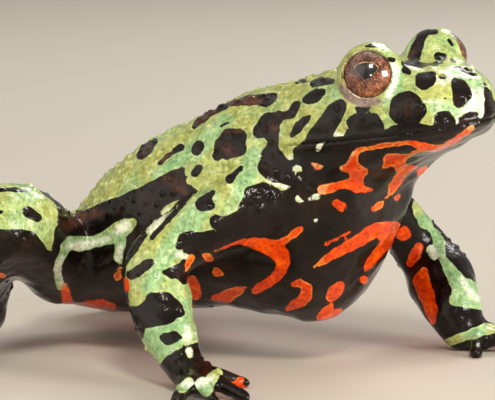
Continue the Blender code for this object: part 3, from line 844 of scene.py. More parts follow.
BLACK_MARKS = {
    "lip band": (
        (351, 134, 6), (358, 133, 7), (372, 133, 7), (384, 136.5, 3.5), (394, 132, 6), (412, 130, 8),
        (432, 132, 6), (452, 128, 7), (470, 122, 6), (482, 126, 6), (490, 118, 5),
    ),
    "lip patch": (
        (352, 122, 6), (358, 119, 6), (366, 120, 5), (374, 118, 5), (378, 125, 5.5), (380, 131, 5),
    ),
    "cheek": ((402, 105, 12), (409, 104, 12.5), (414, 110, 12), (408, 114, 13), (400, 112, 11)),
    "lip bump": ((440, 118, 6.5), (445, 119, 8), (450, 122, 6)),
    "lip front": ((461, 121, 4), (470, 117, 5), (476, 114, 3)),
    "under the eye": ((357, 109, 2.6), (364, 109, 3.6), (369, 108, 2.4)),
    "nostril patch": ((421, 78, 6), (423, 83, 7), (429, 79, 7), (433, 74, 3)),
    "snout front": ((456, 82, 5), (460, 88, 8), (461, 96, 8.5), (459, 102, 6)),
    "snout front edge": ((466, 90, 5), (469, 95, 3)),
    "snout top": ((456, 68, 2.5), (465, 70, 3), (475, 75, 2)),
    "snout far": ((484, 83, 1.5), (487.5, 93, 3.5), (490, 104, 5), (489.5, 116, 6)),
    "snout speck": ((444, 98, 1), (446, 99, 1)),
    "between": ((405, 70, 3.5), (409, 72.5, 3)),
    "between low": ((417, 67, 1.6), (423, 66, 1.6)),
    "brow line": ((404, 63, 3), (414, 63, 2.5), (424, 65, 1.5), (435, 64.5, 1.8), (443, 63, 1)),
    "far lid band": (
        (436, 32, 2.5), (426, 32, 3), (421, 37, 4.5), (418, 46, 5.5), (414, 56, 6), (409, 61, 4),
    ),
    "far lid spot": ((438, 56, 4.5), (443, 57, 4)),
    "far lid fleck": ((449, 40, 2), (453, 47, 1.5)),
    "far lid low": ((452, 60, 2), (456, 62, 1)),
    "lid fleck": ((365, 46.5, 1), (371, 45.5, 2), (376, 47, 1)),
    "lid corner": ((388, 59, 2), (393, 60, 3)),
    "slanted": (
        (340, 106, 7), (335, 112, 9), (331, 119, 9.5), (325, 128, 10), (317, 138, 10), (312, 150, 11),
    ),
    "upper oval": ((307, 100, 5), (314, 96.5, 6), (322, 92, 4)),
    "upper dash": ((313, 84, 3.5), (322, 81, 4.2), (331, 81, 3.8)),
    "neck dash": ((296, 82, 2.5), (304, 80, 3)),
    "thin oval": ((292, 135, 3), (298, 128, 4.5), (305, 120, 3.5), (310, 116, 1.5)),
    "round": ((292, 113, 5), (296, 105, 4.5)),
    "big lobes": ((260, 131, 7.5), (269, 122, 9), (279, 118, 6.5), (287, 116, 4)),
    "big neck": ((272, 132, 9), (275, 145, 6.5), (272, 155, 10), (270, 167, 11.5), (277, 172, 11)),
    "shoulder": ((290, 172, 14), (305, 168, 17), (318, 158, 18), (330, 148, 12)),
    "shoulder low": (
        (252, 193, 8), (264, 192, 9), (256, 210, 17), (275, 215, 21), (300, 210, 24), (320, 195, 22),
    ),
    "arm root": ((216, 222, 7), (226, 226, 9), (240, 225, 14), (225, 240, 8), (240, 240, 10)),
    "arm top": ((179, 246, 4), (185, 240, 7.5), (190, 241, 9.5), (200, 242, 9), (210, 240, 10)),
    "arm top low": ((186, 251, 3), (192, 252, 3), (198, 250, 4)),
    "arm oval": ((131, 275, 5), (138, 271, 5), (146, 265, 4.8), (151, 262, 3.4)),
    "arm wedge": ((165, 272, 3), (172, 273, 5.5), (180, 270, 6), (184, 263, 4)),
    "arm wedge low": ((178, 274, 5), (184, 281, 4)),
    "forearm patch": ((153, 300, 8), (164, 303, 11), (174, 309, 9), (181, 313, 4)),
    "forearm middle": ((138, 318, 12), (150, 314, 13), (163, 313, 12), (170, 316, 7)),
    "forearm left": ((132, 310, 4), (133, 320, 10), (137, 330, 8), (140, 336, 4)),
    "forearm oval": ((163, 337, 4), (168, 339, 6), (174, 337, 5.5), (180, 338, 2.5)),
    "wrist": ((165, 370, 8), (172, 364, 9), (182, 360, 11), (190, 356, 11), (197, 348, 6)),
    "wrist low": ((170, 382, 9), (178, 372, 9), (190, 369, 8), (205, 360, 10)),
    "silhouette oval": ((141, 155, 5), (147, 148, 6), (155, 141, 3)),
    "silhouette band": ((194, 127, 2.5), (203, 117, 4.5), (215, 108, 5.5), (224, 105, 5)),
    "silhouette long": ((232, 103, 3.5), (250, 100, 5), (266, 100, 6.5), (273, 97, 5)),
    "dart": ((160, 163.5, 2.5), (168, 155.5, 2), (176, 150, 2.4), (180.5, 147.5, 4)),
    "dot": ((196.5, 150, 5.5), (199, 146, 5.5)),
    "lower dot": ((195, 173, 4.5), (199, 168, 4)),
    "blotch": ((217, 156, 5), (221, 144, 6), (229, 137, 8), (238, 137, 9)),
    "blotch low": ((227, 152, 8), (238, 148, 9)),
    "thin fleck": ((221, 126, 1.2), (228, 122.5, 1.2)),
    "dumbbell": ((230, 179, 5), (236, 173, 2.2), (241, 168, 2.8)),
    "drop": ((213, 192.5, 2.5), (207, 198, 4.5), (203, 204, 7), (210, 206, 5)),
    "lateral": (
        (66, 228, 8), (82, 224, 13), (100, 217, 12), (118, 210, 12), (136, 203, 13), (154, 196, 14),
        (172, 186, 14), (176, 180, 10), (183, 168, 2.5),
    ),
    "lateral end": ((178, 190, 9), (188, 190, 5), (194, 191, 3)),
    "lateral low": ((140, 221, 8), (152, 210, 8), (136, 235, 7)),
    "lateral edge": (
        (152, 238, 3), (160, 228, 2.4), (168, 220, 2.6), (174, 213, 3), (180, 205, 3.5), (188, 196, 3.5),
    ),
    "lateral front": ((78, 214, 4), (70, 220, 6)),
    "knee spot": ((28, 212, 6), (38, 217.5, 4.5)),
    "knee fleck": ((0, 212, 2.6), (2, 212, 2)),
    "knee line": ((0, 190, 2.4), (15, 189.5, 2.4), (27, 191, 1.4)),
    "thigh": ((0, 258, 28), (15, 259, 30), (26, 263, 25), (36, 270, 18)),
    "behind the knee": ((62, 232, 8), (58, 246, 5), (50, 285, 8)),
}
ORANGE_MARKS = {
    "flank left": (
        (65, 286, 3.5), (66, 294, 4), (67, 301, 4.5), (76, 304, 4.4), (90, 305, 4.4), (101, 305, 5.5),
        (112, 307, 4),
    ),
    "flank right": ((121, 270, 4.5), (119, 277, 5), (124, 283, 5), (127, 289, 3)),
    "thigh low": ((0, 275, 2.5), (4, 276, 2)),
    "elbow": ((191, 258, 4), (188, 265, 2.5), (186, 271, 1)),
    "belly left": ((191, 279, 5), (195, 288, 5), (197, 296, 2.6)),
    "belly patch": ((205, 255, 3), (209, 259, 4)),
    "belly dot": ((217, 272, 4.4), (222, 271.5, 4.4)),
    "belly wedge": ((214, 298, 3), (228, 296, 6), (238, 291, 4), (246, 288, 1.5)),
    "chest arc": (
        (236, 243, 1.2), (244, 242, 3), (254, 243.5, 5), (264, 245.5, 7), (274, 249, 8.5), (281, 255, 8),
        (283.5, 262, 6.2), (281, 270, 5.2), (276, 277, 4.8), (268, 283, 4.6), (260, 287.5, 4.2),
        (254.5, 291.5, 3.2),
    ),
    "chest line": ((215, 251, 0.8), (226, 247, 0.9), (237, 243, 1.4)),
    "chest branch": ((277, 245, 4), (286, 240, 2.6), (294, 234, 3.2), (300, 229, 3.2)),
    "breast hook": (
        (294, 284, 3), (300, 283, 3.6), (307, 288, 4.5), (306, 296, 5.5), (302, 301, 5), (294, 305, 4),
        (287, 309.5, 2),
    ),
    "breast oval": ((340, 286, 5), (335, 292, 6.5), (331, 297, 5)),
    "breast low": ((331, 306, 3), (327, 313, 6), (322, 318, 5), (333, 318, 5), (340, 311, 3)),
    "breast dot": ((364, 280, 4.2),),
    "long stripe": (
        (314, 267.5, 1.4), (325, 260, 3), (338, 252, 5), (350, 245.5, 5.5), (360, 240, 6), (370, 233, 6.5),
        (378, 230, 7), (386, 231, 9), (394, 232, 10), (402, 233, 8), (407, 235, 4),
    ),
    "long branch": ((386, 243, 6), (378, 253, 4.5), (371, 262, 4), (366, 269, 3)),
    "faint": ((326, 244, 2), (335, 240, 1.2), (350, 232, 1)),
    "shoulder oval": ((312, 164, 1.5), (317, 167, 2.8), (322, 167, 1.8)),
    "gular left": ((322, 190, 5), (332, 187.5, 4.2), (342, 184.5, 3.2), (350, 184, 5), (356, 186, 6)),
    "gular oval": ((336, 203, 4), (342, 207, 4.5), (345, 209, 2.5)),
    "gular far": ((374, 209, 3), (379, 205.5, 3.2), (383, 202, 1.5)),
    "throat": (
        (355, 154, 2.6), (353.5, 159, 3.6), (352.5, 165, 5), (356, 171, 6.5), (357, 178, 6),
        (356.5, 184, 6.5),
    ),
    "throat corner": ((343, 168.5, 3.2), (350, 168, 5.5)),
    "throat front": ((357, 171, 6), (364, 171.5, 4)),
    "throat foot": ((357, 188, 4.5), (365, 189.5, 2.8), (372, 190, 1.2)),
    "throat up": (
        (355, 154, 2.6), (358, 150.5, 2), (364, 149, 1.4), (372, 148, 1.3), (380, 146.2, 1.9),
        (388, 144.8, 2), (398, 143.8, 1.6), (408, 142.5, 1.6), (416, 144.5, 2.6), (424, 147, 3.8),
        (432, 148.5, 3.4), (440, 148.5, 3.4), (450, 144, 3), (460, 137, 2.6), (468, 131, 2.6),
        (472, 127.5, 2.6),
    ),
    "throat patch": ((384, 167, 2), (390, 160, 6), (397, 160, 6), (405, 157, 2.5)),
    "throat down": (
        (398, 162, 6), (401, 168, 5), (402, 174, 4), (398, 180, 4.5), (393, 187, 4), (390, 193, 2.5),
    ),
    "throat branch": ((402, 169, 4.5), (410, 168.5, 3), (416, 167, 1.5)),
    "throat link": ((406, 157, 1.6), (414, 153, 1.4), (422, 149.5, 2)),
    "throat drop": ((426, 168, 2.4), (421, 172, 3), (418, 175.5, 1.2)),
    "throat tail": ((399, 195, 1.6), (396, 199, 2.4)),
    "far arm pit": ((419, 247, 4.5), (415, 255, 5), (410, 263, 4)),
    "far arm": ((424, 271, 4), (421.5, 281, 8.5), (426.5, 295, 7.5), (431, 310, 6), (433, 322, 3)),
    "finger tip": ((239, 381, 4), (243, 376, 3)),
}
BLACK_IN_ORANGE = {
    "chest": ((232, 262, 14), (246, 266, 17), (256, 266, 13)),
}
# Near-white places in the green and orange, and painted highlights on the front of the snout and on the
# wrist.
PALE_MARKS_AND_HIGHLIGHTS = {
    "streak": ((150, 231, 3), (158, 221, 4), (168, 210, 2.5)),
    "flank knot": ((125, 226, 6), (116, 232, 3)),
    "flank chain": ((108, 239, 3), (92, 243, 3.5), (79, 246, 5), (68, 247, 3)),
    "flank low": ((62, 258, 2.5), (58, 269, 4.5), (60, 277, 2), (63, 284, 4)),
    "flank branch": ((121, 246, 3), (119, 259, 4)),
    "shoulder": ((275, 181, 3.5), (280, 181, 4), (287, 187, 3)),
    "shoulder speck": ((292, 168, 2), (300, 167, 2.5)),
    "white speck": ((298.4, 179, 4),),
    "low speck": ((316, 221, 4),),
    "front": ((310, 199, 3), (322, 194, 3)),
    "front wedge": ((297, 198, 3), (303, 201, 2)),
    "shoulder oval": ((311, 164, 2.5), (322, 167, 2)),
    "tongue end": ((291, 158, 3),),
    "cheek comma": ((318, 149, 3), (320, 145, 3.5), (325, 142, 3)),
    "green foot": ((336, 134, 2.5), (343, 138, 3), (348, 140, 2.5)),
    # Painted highlight on the wrist.
    "wrist": ((189, 352, 4),),
    "forearm": ((187, 327, 2), (188, 335, 3.5), (187, 340, 2)),
    "elbow": ((178, 254, 3), (187, 257, 2.5)),
    "far arm": ((432, 249, 4), (435, 256, 4)),
    "far forearm": ((462, 279, 3), (470, 292, 3), (478, 299, 3)),
    "snout edge": ((480, 90, 2), (483, 98, 3), (484, 108, 3), (481, 118, 3.5)),
    # Painted highlight: the wet gleam on the front of the snout, in near white.
    "snout": ((471, 94, 4), (474, 101, 5), (470, 108, 3.5), (461, 113, 2)),
    "beside the eye": ((392, 62, 3), (395, 70, 4), (394, 80, 3.5), (391, 90, 3), (388, 97, 2.5)),
    "nostril edge": (
        (434, 77, 1.6), (437, 81, 1.8), (443, 82.5, 1.8), (448, 79, 2), (449, 74, 1.8), (445, 70.5, 1.4),
    ),
    "hand": ((184, 384, 3), (203, 382, 4), (212, 377, 2)),
    "throat flecks": ((318, 193, 2.5), (355, 150, 2)),
    "mouth end": ((470, 128, 2.5), (474, 125, 3)),
    "lip speck": ((457, 120, 2), (457, 124, 2.5)),
}
# Where the green turns to mint.
MINT_MARKS = {
    "forearm": ((150, 332, 12), (165, 340, 18), (180, 325, 12), (184, 305, 8)),
    "upper arm": ((208, 198, 9), (190, 222, 12), (166, 255, 9), (150, 286, 9)),
    "flank": ((256, 158, 12), (246, 175, 10), (240, 195, 8)),
    "flank chain": ((125, 240, 10), (100, 240, 9), (70, 245, 9), (60, 275, 8)),
    "hand": ((185, 386, 8), (206, 386, 10)),
    "beside the eye": ((397, 72, 7), (396, 90, 7), (386, 102, 5)),
    "behind the eye": ((337, 98, 5), (333, 90, 4)),
    "snout": (
        (452, 72, 6), (462, 74, 6), (474, 80, 7), (484, 95, 8), (484, 112, 8), (455, 112, 7), (435, 106, 7),
    ),
    "back": ((195, 155, 7), (226, 120, 6), (160, 176, 8)),
    "far arm": ((425, 225, 12), (440, 250, 10), (465, 288, 18), (475, 335, 12)),
    "knee": ((30, 195, 8),),
}
# Redder brown clouds in the black of the back and behind the eyes; behind the near eye it is painted shade at
# the eye's rear corner.
BROWN_MARKS_AND_SHADE = {
    "silhouette long": ((232, 101, 7), (250, 100, 8), (262, 101, 4)),
    "silhouette band": ((196, 125, 4), (206, 116, 6), (216, 109, 5)),
    "silhouette oval": ((143, 153, 4), (152, 144, 3)),
    "dart": ((162, 161, 4), (172, 153, 4)),
    "blotch": ((227, 147, 6), (233, 155, 7)),
    "blotch rim": ((226, 132, 3), (240, 131, 4)),
    "lobes": ((274, 128, 5),),
    "lateral": ((66, 226, 7), (80, 218, 8), (100, 211, 6)),
    "lateral end": ((165, 178, 5), (178, 186, 8), (186, 193, 4)),
    # Painted shade at the rear corner of the near eye.
    "behind the eye": ((339, 80, 3), (337, 88, 4), (341, 94, 2)),
    "far lid": ((413, 52, 5), (408, 60, 4)),
}


def smooth_max(a, b, blend):
    """The larger of the two, with the corner where they meet rounded over."""
    near = np.maximum(blend - abs(a - b), 0) / blend
    return np.maximum(a, b) + near * near * blend / 4


def first_depth(tree, across, down):
    """How deep the skin is at a pixel, or None where the pixel misses it."""
    hit = tree.ray_cast(VIEW_PLACE, photo_ray(across, down).normalized())
    if hit[0] is None:
        return None
    return -(hit[0] - VIEW_PLACE).dot(VIEW_BACK)


def stroke_field(strokes, photo, tree, tolerance, blend=0.25):
    """Millimetres inside the nearest stroke, for each place seen in the photo, negative outside."""
    across, down, depth = photo
    field = np.full(len(across), FAR)
    for chain in strokes.values():
        depths = [first_depth(tree, x, y) for x, y, _ in chain]
        known = [d for d in depths if d is not None]
        if not known:
            continue
        ends = list(zip(chain, [known[0] if d is None else d for d in depths]))
        for (one, deep), (two, deeper) in zip(ends, ends[1:] or ends[:1]):
            reach = max(one[2], two[2]) + STROKE_MARGIN
            close = (
                (across > min(one[0], two[0]) - reach) & (across < max(one[0], two[0]) + reach)
                & (down > min(one[1], two[1]) - reach) & (down < max(one[1], two[1]) + reach)
            )
            if not close.any():
                continue
            x, y, z = across[close], down[close], depth[close]
            along = np.array([two[0] - one[0], two[1] - one[1]])
            share = ((x - one[0]) * along[0] + (y - one[1]) * along[1]) / max(along @ along, 1e-9)
            share = np.clip(share, 0, 1)
            away = np.hypot(x - one[0] - share * along[0], y - one[1] - share * along[1])
            inside = (one[2] + share * (two[2] - one[2]) - away) / PIXELS_PER_MM
            off = abs(z - deep - share * (deeper - deep))
            inside = np.minimum(inside, tolerance - off)
            field[close] = smooth_max(field[close], inside, blend)
    return field


def seen_share(mesh, tree):
    """How far the camera sees each place: one in full view, nothing behind the toad or under another part."""
    co, normals, links = read(mesh), read(mesh, "normal"), edge_links(mesh)
    to_eye = np.array(VIEW_PLACE) - co
    to_eye /= np.linalg.norm(to_eye, axis=1, keepdims=True)
    facing = (normals * to_eye).sum(1)
    seen = np.clip((facing + 0.25) / 0.15, 0, 1)
    for i in np.nonzero(facing > 0.02)[0]:
        start = Vector(co[i]) + Vector(normals[i]) * 0.25
        if tree.ray_cast(start, Vector(to_eye[i]))[0] is not None:
            seen[i] = 0
    for _ in range(SEEN_ROUNDS):
        seen = neighbour_mean(seen, links)
    return seen


def lower_lids(co):
    """Millimetres inside the bare band under each eye."""
    lid = np.full(len(co), FAR)
    for _, sign in SIDES:
        x, y, out = in_eye(co, sign)
        across = np.hypot(x, y)
        low = -y * math.cos(LID_TURN) + sign * x * math.sin(LID_TURN)
        band = np.minimum(across - LID_RING + 0.1, LOWER_LID - across)
        band = np.minimum(band, (low - LID_SPAN) * 0.8)
        lid = np.maximum(lid, np.where(out > 0, band, FAR))
    return lid


def blended(seen, shown, hidden):
    return seen * np.clip(shown, -1, 1) + (1 - seen) * np.clip(hidden, -1, 1)


def blotches(co, size, seed):
    return patches(co, size, (seed, 1.7 * seed, 0.6 * seed))


def markings_and_painted_light(obj):
    """Each colour as millimetres inside its edge: from the strokes where seen, and made up elsewhere."""
    mesh = obj.data
    co, normals = read(mesh), read(mesh, "normal")
    corners = [tuple(face.vertices) for face in mesh.polygons]
    tree = BVHTree.FromPolygons([Vector(place) for place in co], corners)
    photo = to_photo(co)
    seen = seen_share(mesh, tree)
    head, limb = head_places(co), limb_share(co)
    on_skull = np.minimum(head[:, 2] - MOUTH - GREEN_LIP, head[:, 0] - SKULL_START)

    def above(line):
        """Millimetres above a line along the trunk, behind the head."""
        return np.minimum((co[:, 2] - np.interp(co[:, 0], *line)) / LINE_FALL, TRUNK_END - head[:, 0])

    # Unseen: green above with black spots, and black below with orange blots.
    upward = 2.2 * (normals[:, 2] - 0.1)
    ground = np.maximum(np.where(limb > 0.5, upward, above(BACK_LINE)), on_skull)
    ground = ground + 0.9 * blotches(co, 3.0, 4)
    hidden_green = np.minimum(ground, 0.55 - 1.9 * blotches(co, 2.6, 21))
    belly = 2.4 * (-normals[:, 2] - 0.15) + 1.3 * blotches(co, 4.0, 33)
    hidden_orange = np.minimum(belly, 0.25 - 2.6 * blotches(co, 2.9, 47))

    # Seen: the green ground, less its black marks, with the green that lies on the black, and the orange.
    green = np.maximum(np.where(limb > 0.5, FAR, above(NEAR_LINE)), on_skull)
    green = smooth_max(green, stroke_field(GREEN_GROUND, photo, tree, GROUND_DEPTH), 0.3)
    green = np.minimum(green, -stroke_field(BLACK_MARKS, photo, tree, MARK_DEPTH))
    green = smooth_max(green, stroke_field(GREEN_MARKS_AND_HIGHLIGHT, photo, tree, MARK_DEPTH), 0.15)
    orange = stroke_field(ORANGE_MARKS, photo, tree, MARK_DEPTH)
    orange = np.minimum(orange, -stroke_field(BLACK_IN_ORANGE, photo, tree, MARK_DEPTH, 0.1))

    brown = seen * stroke_field(BROWN_MARKS_AND_SHADE, photo, tree, MARK_DEPTH) + (1 - seen) * blotches(co, 3.4, 61)
    set_attribute(mesh, "brown", np.clip(brown, -1, 1))
    for name, strokes in (("pale", PALE_MARKS_AND_HIGHLIGHTS), ("mint", MINT_MARKS)):
        set_attribute(mesh, name, blended(seen, stroke_field(strokes, photo, tree, MARK_DEPTH), FAR))
    set_attribute(mesh, "green", blended(seen, green, hidden_green))
    set_attribute(mesh, "orange", blended(seen, orange, hidden_orange))
    set_attribute(mesh, "lid", np.maximum(lower_lids(co), -1))


# Materials


def linear(hex_code):
    """An sRGB hex colour as linear red, green, blue and full alpha."""
    parts = [int(hex_code[i : i + 2], 16) / 255 for i in (1, 3, 5)]
    return (*(c / 12.92 if c <= 0.04045 else ((c + 0.055) / 1.055) ** 2.4 for c in parts), 1)


def new_material(name):
    material = bpy.data.materials.new(name)
    material.use_nodes = True
    tree = material.node_tree
    return material, tree, tree.nodes["Principled BSDF"]


# Living skin: a thin wet film over grainy pigment cells, so bright small glints on a soft ground.
def wet_skin():
    material, tree, shader = new_material("wet_toad_skin")
    where = add(tree, "ShaderNodeTexCoord").outputs["Object"]
    value = {
        name: add(tree, "ShaderNodeAttribute", attribute_name=name).outputs["Fac"]
        for name in ("green", "orange", "lid", "wart", "nostril", "brown", "pale", "mint")
    }
    spread = {
        name: add(
            tree, "ShaderNodeTexNoise",
            {"Vector": where, "Scale": 1 / (size * MM), "Detail": detail, "Roughness": rough},
        ).outputs["Fac"]
        for name, size, detail, rough in (
            ("broad", 6.0, 2.0, 0.5),
            ("patch", 3.0, 3.0, 0.55),
            ("medium", 1.3, 4.0, 0.6),
            ("ragged", 1.1, 3.0, 0.6),
            ("film", FILM, 2.0, 0.5),
            ("fine", 0.3, 3.0, 0.7),
        )
    }
    grain = add(
        tree, "ShaderNodeTexVoronoi", {"Vector": where, "Scale": 1 / (GRAIN * MM), "Smoothness": 0.6},
        feature="SMOOTH_F1",
    ).outputs["Distance"]

    # Each marking's edge wanders a little, and fades over twice its width.
    ragged = add(tree, "ShaderNodeMath", {0: spread["ragged"], 1: 0.5}, operation="SUBTRACT").outputs[0]
    inside, mask = {}, {}
    for name, wander, width in (
        ("green", 0.3, 0.05), ("orange", 0.25, 0.05), ("lid", 0.15, 0.12), ("nostril", 0.1, 0.12)
    ):
        inside[name] = add(
            tree, "ShaderNodeMath", {0: ragged, 1: wander, 2: value[name]}, operation="MULTIPLY_ADD"
        ).outputs[0]
        mask[name] = add(
            tree, "ShaderNodeMapRange", {"Value": inside[name], "From Min": -width, "From Max": width},
            interpolation_type="SMOOTHSTEP",
        ).outputs[0]

    # Shares that rise from nothing: what each reads, where it starts, where it is full, and how much that is.
    share = {
        name: add(
            tree, "ShaderNodeMapRange",
            {"Value": source, "From Min": start, "From Max": full, "To Max": most}, interpolation_type=shape,
        ).outputs[0]
        for name, source, start, full, most, shape in (
            ("mint cloud", spread["broad"], 0.46, 0.62, 0.6, "LINEAR"),
            ("mint place", value["mint"], -0.5, 0.4, 0.9, "SMOOTHSTEP"),
            ("wart tip", value["wart"], 0.3, 0.95, 0.7, "LINEAR"),
            ("green verge", inside["green"], 0.16, 0.02, 0.35, "LINEAR"),
            ("pale", value["pale"], -0.28, 0.3, 0.9, "SMOOTHSTEP"),
            ("brown", value["brown"], -0.1, 0.5, 0.8, "SMOOTHSTEP"),
            ("orange verge", inside["orange"], 0.2, 0.02, 1.0, "LINEAR"),
            ("verge cloud", spread["broad"], 0.52, 0.62, 0.7, "LINEAR"),
        )
    }
    minty = add(
        tree, "ShaderNodeMath", {0: share["mint cloud"], 1: share["mint place"]}, operation="MAXIMUM"
    ).outputs[0]
    verge = add(
        tree, "ShaderNodeMath", {0: share["orange verge"], 1: share["verge cloud"]}, operation="MULTIPLY"
    ).outputs[0]

    # Pigments, dark to light. Black is a dark brown with redder clouds.
    paint = {
        name: add(tree, "ShaderNodeValToRGB", {"Fac": spread[cloud]}, stops=stops).outputs["Color"]
        for name, cloud, stops in (
            ("green", "medium",
             ((0.3, "#858c46"), (0.44, "#a3aa5b"), (0.58, "#b6bd6f"), (0.72, "#ced297"))),
            ("mint", "medium", ((0.3, "#729d6c"), (0.48, "#8cb77e"), (0.7, "#b2d0a0"))),
            ("black", "patch", ((0.36, "#0f0a07"), (0.55, "#19110c"), (0.75, "#2a1b12"))),
            ("brown", "medium", ((0.34, "#2f1a10"), (0.52, "#4f2e1d"), (0.7, "#704527"))),
            ("orange", "medium", ((0.34, "#cc3602"), (0.54, "#e84b02"), (0.7, "#f7690a"))),
            ("lid", "medium", ((0.3, "#6d5a52"), (0.6, "#9f8c80"))),
        )
    }
    # Over each pigment: mint low on the flanks, paler warts, thin pale verges and near-white places, the
    # painted highlights among them.
    for name, amount, over in (
        ("green", minty, paint["mint"]),
        ("green", share["wart tip"], linear("#d3dc9c")),
        ("green", share["green verge"], linear("#bdd292")),
        ("green", share["pale"], linear("#ecf1dd")),
        ("black", share["brown"], paint["brown"]),
        ("orange", verge, linear("#ff9d3c")),
        ("orange", share["pale"], linear("#e8b476")),
    ):
        paint[name] = add(
            tree, "ShaderNodeMix", {0: amount, 6: paint[name], 7: over}, data_type="RGBA"
        ).outputs[2]
    colour = paint["black"]
    # Painted shade: the nostrils' openings in near black.
    paint["nostril"] = linear("#0a0706")
    for name in ("green", "orange", "lid", "nostril"):
        colour = add(
            tree, "ShaderNodeMix", {0: mask[name], 6: colour, 7: paint[name]}, data_type="RGBA"
        ).outputs[2]
    height = add(
        tree, "ShaderNodeMath", {0: grain, 1: 0.5, 2: spread["fine"]}, operation="MULTIPLY_ADD"
    ).outputs[0]
    speck = add(
        tree, "ShaderNodeMapRange",
        {"Value": height, "From Min": 0.48, "From Max": 0.86, "To Min": 0.66, "To Max": 1.22},
    ).outputs[0]
    speck = add(tree, "ShaderNodeCombineColor", {0: speck, 1: speck, 2: speck}).outputs[0]
    colour = add(
        tree, "ShaderNodeMix", {0: 1.0, 6: colour, 7: speck}, data_type="RGBA", blend_type="MULTIPLY"
    ).outputs[2]

    # The green is finely pitted, and the black and orange are smoother under the same film of water.
    rough = add(
        tree, "ShaderNodeMapRange",
        {"Value": spread["medium"], "From Min": 0.3, "From Max": 0.7, "To Min": 0.28, "To Max": 0.46},
    ).outputs[0]
    pitted = add(
        tree, "ShaderNodeMath", {0: mask["green"], 1: 0.35, 2: 0.25}, operation="MULTIPLY_ADD"
    ).outputs[0]
    pits, ripples = (
        add(
            tree, "ShaderNodeBump", {"Height": shape, "Strength": strength, "Distance": deep * MM}
        ).outputs["Normal"]
        for shape, strength, deep in ((height, pitted, 0.1), (spread["film"], 0.5, 0.12))
    )
    fill(tree, shader, {
        "Base Color": colour, "Roughness": rough, "Normal": pits, "Coat Normal": ripples, "IOR": 1.36,
        "Specular IOR Level": 0.12, "Coat Weight": 0.7, "Coat Roughness": 0.07, "Coat IOR": 1.34,
    })
    return material


# A frog's eye: clear wet cornea over a copper iris with dark flecks, and a gold line round the pupil.
def eye_glass():
    material, tree, shader = new_material("wet_copper_eye")
    where = add(tree, "ShaderNodeTexCoord").outputs["Object"]
    value = {
        name: add(tree, "ShaderNodeAttribute", attribute_name=name).outputs["Fac"]
        for name in ("pupil", "out", "high", "rear")
    }
    streak = add(tree, "ShaderNodeAttribute", attribute_name="streak").outputs["Vector"]
    lines, flecks, mosaic = (
        add(
            tree, "ShaderNodeTexNoise",
            {"Vector": place, "Scale": scale, "Detail": detail, "Roughness": rough},
        ).outputs["Fac"]
        for place, scale, detail, rough in (
            (streak, 2.2, 4.0, 0.65),
            (where, 1 / (0.16 * MM), 3.0, 0.7),
            (where, 1 / (0.45 * MM), 2.0, 0.5),
        )
    )
    both = lines
    for kind, other in (("ADD", flecks), ("ADD", mosaic), ("MULTIPLY", 1 / 3)):
        both = add(tree, "ShaderNodeMath", {0: both, 1: other}, operation=kind).outputs[0]
    # The copper ground, a grey that also paints the sky's reflection on the top, and a dark red that also
    # paints shade at the rear.
    copper, grey_and_sky_reflection, red_and_shade = (
        add(tree, "ShaderNodeValToRGB", {"Fac": both}, stops=stops).outputs["Color"]
        for stops in (
            ((0.39, "#2f150c"), (0.46, "#6a331f"), (0.53, "#9c5936"), (0.62, "#cb9068")),
            ((0.4, "#41302f"), (0.5, "#76605d"), (0.62, "#a08c8c")),
            ((0.4, "#2c120a"), (0.5, "#5c2a18"), (0.64, "#8f5033")),
        )
    )
    # Dark flecks crowd round the pupil.
    close = add(
        tree, "ShaderNodeMapRange",
        {"Value": value["pupil"], "From Min": 0.0, "From Max": 1.2, "To Min": 0.25, "To Max": -0.08},
    ).outputs[0]
    crowd = add(tree, "ShaderNodeMath", {0: close, 1: flecks}, operation="SUBTRACT").outputs[0]
    wavy = add(
        tree, "ShaderNodeMath", {0: flecks, 1: 0.1, 2: value["pupil"]}, operation="MULTIPLY_ADD"
    ).outputs[0]
    share = {
        name: add(
            tree, "ShaderNodeMapRange",
            {"Value": source, "From Min": start, "From Max": full, "To Min": least, "To Max": most},
        ).outputs[0]
        for name, source, start, full, least, most in (
            ("high", value["high"], 0.7, 1.6, 0.0, 0.9),
            ("rear", value["rear"], 0.3, 1.5, 0.0, 0.85),
            ("crowd", crowd, -0.44, -0.34, 0.0, 0.8),
            ("edge", value["out"], IRIS_EDGE - 0.14, IRIS_EDGE, 0.0, 1.0),
            ("gold", wavy, 0.17, 0.12, 0.0, 1.0),
            ("broken", lines, 0.4, 0.5, 0.0, 1.0),
            ("arc", value["high"], 0.1, 0.5, 0.14, 1.0),
            ("pupil", wavy, 0.1, 0.06, 0.0, 1.0),
        )
    }
    # The gold line is broken, whole over the pupil and faint at its sides.
    gold = share["gold"]
    for factor in (share["broken"], share["arc"]):
        gold = add(tree, "ShaderNodeMath", {0: gold, 1: factor}, operation="MULTIPLY").outputs[0]
    # Greyer above: the iris's own mauve-grey with a painted sky reflection. Redder and darker behind: its own
    # red with painted shade. Then a dark ring round the iris, and the pupil over all.
    colour = copper
    for amount, over in (
        (share["high"], grey_and_sky_reflection),
        (share["rear"], red_and_shade),
        (share["crowd"], linear("#1a0b08")),
        (share["edge"], linear("#1a100c")),
        (gold, linear("#e2b26c")),
        (share["pupil"], linear("#070606")),
    ):
        colour = add(tree, "ShaderNodeMix", {0: amount, 6: colour, 7: over}, data_type="RGBA").outputs[2]
    fill(tree, shader, {
        "Base Color": colour, "Roughness": 0.35, "IOR": 1.38,
        "Coat Weight": 1.0, "Coat Roughness": 0.02, "Coat IOR": 1.52,
    })
    return material


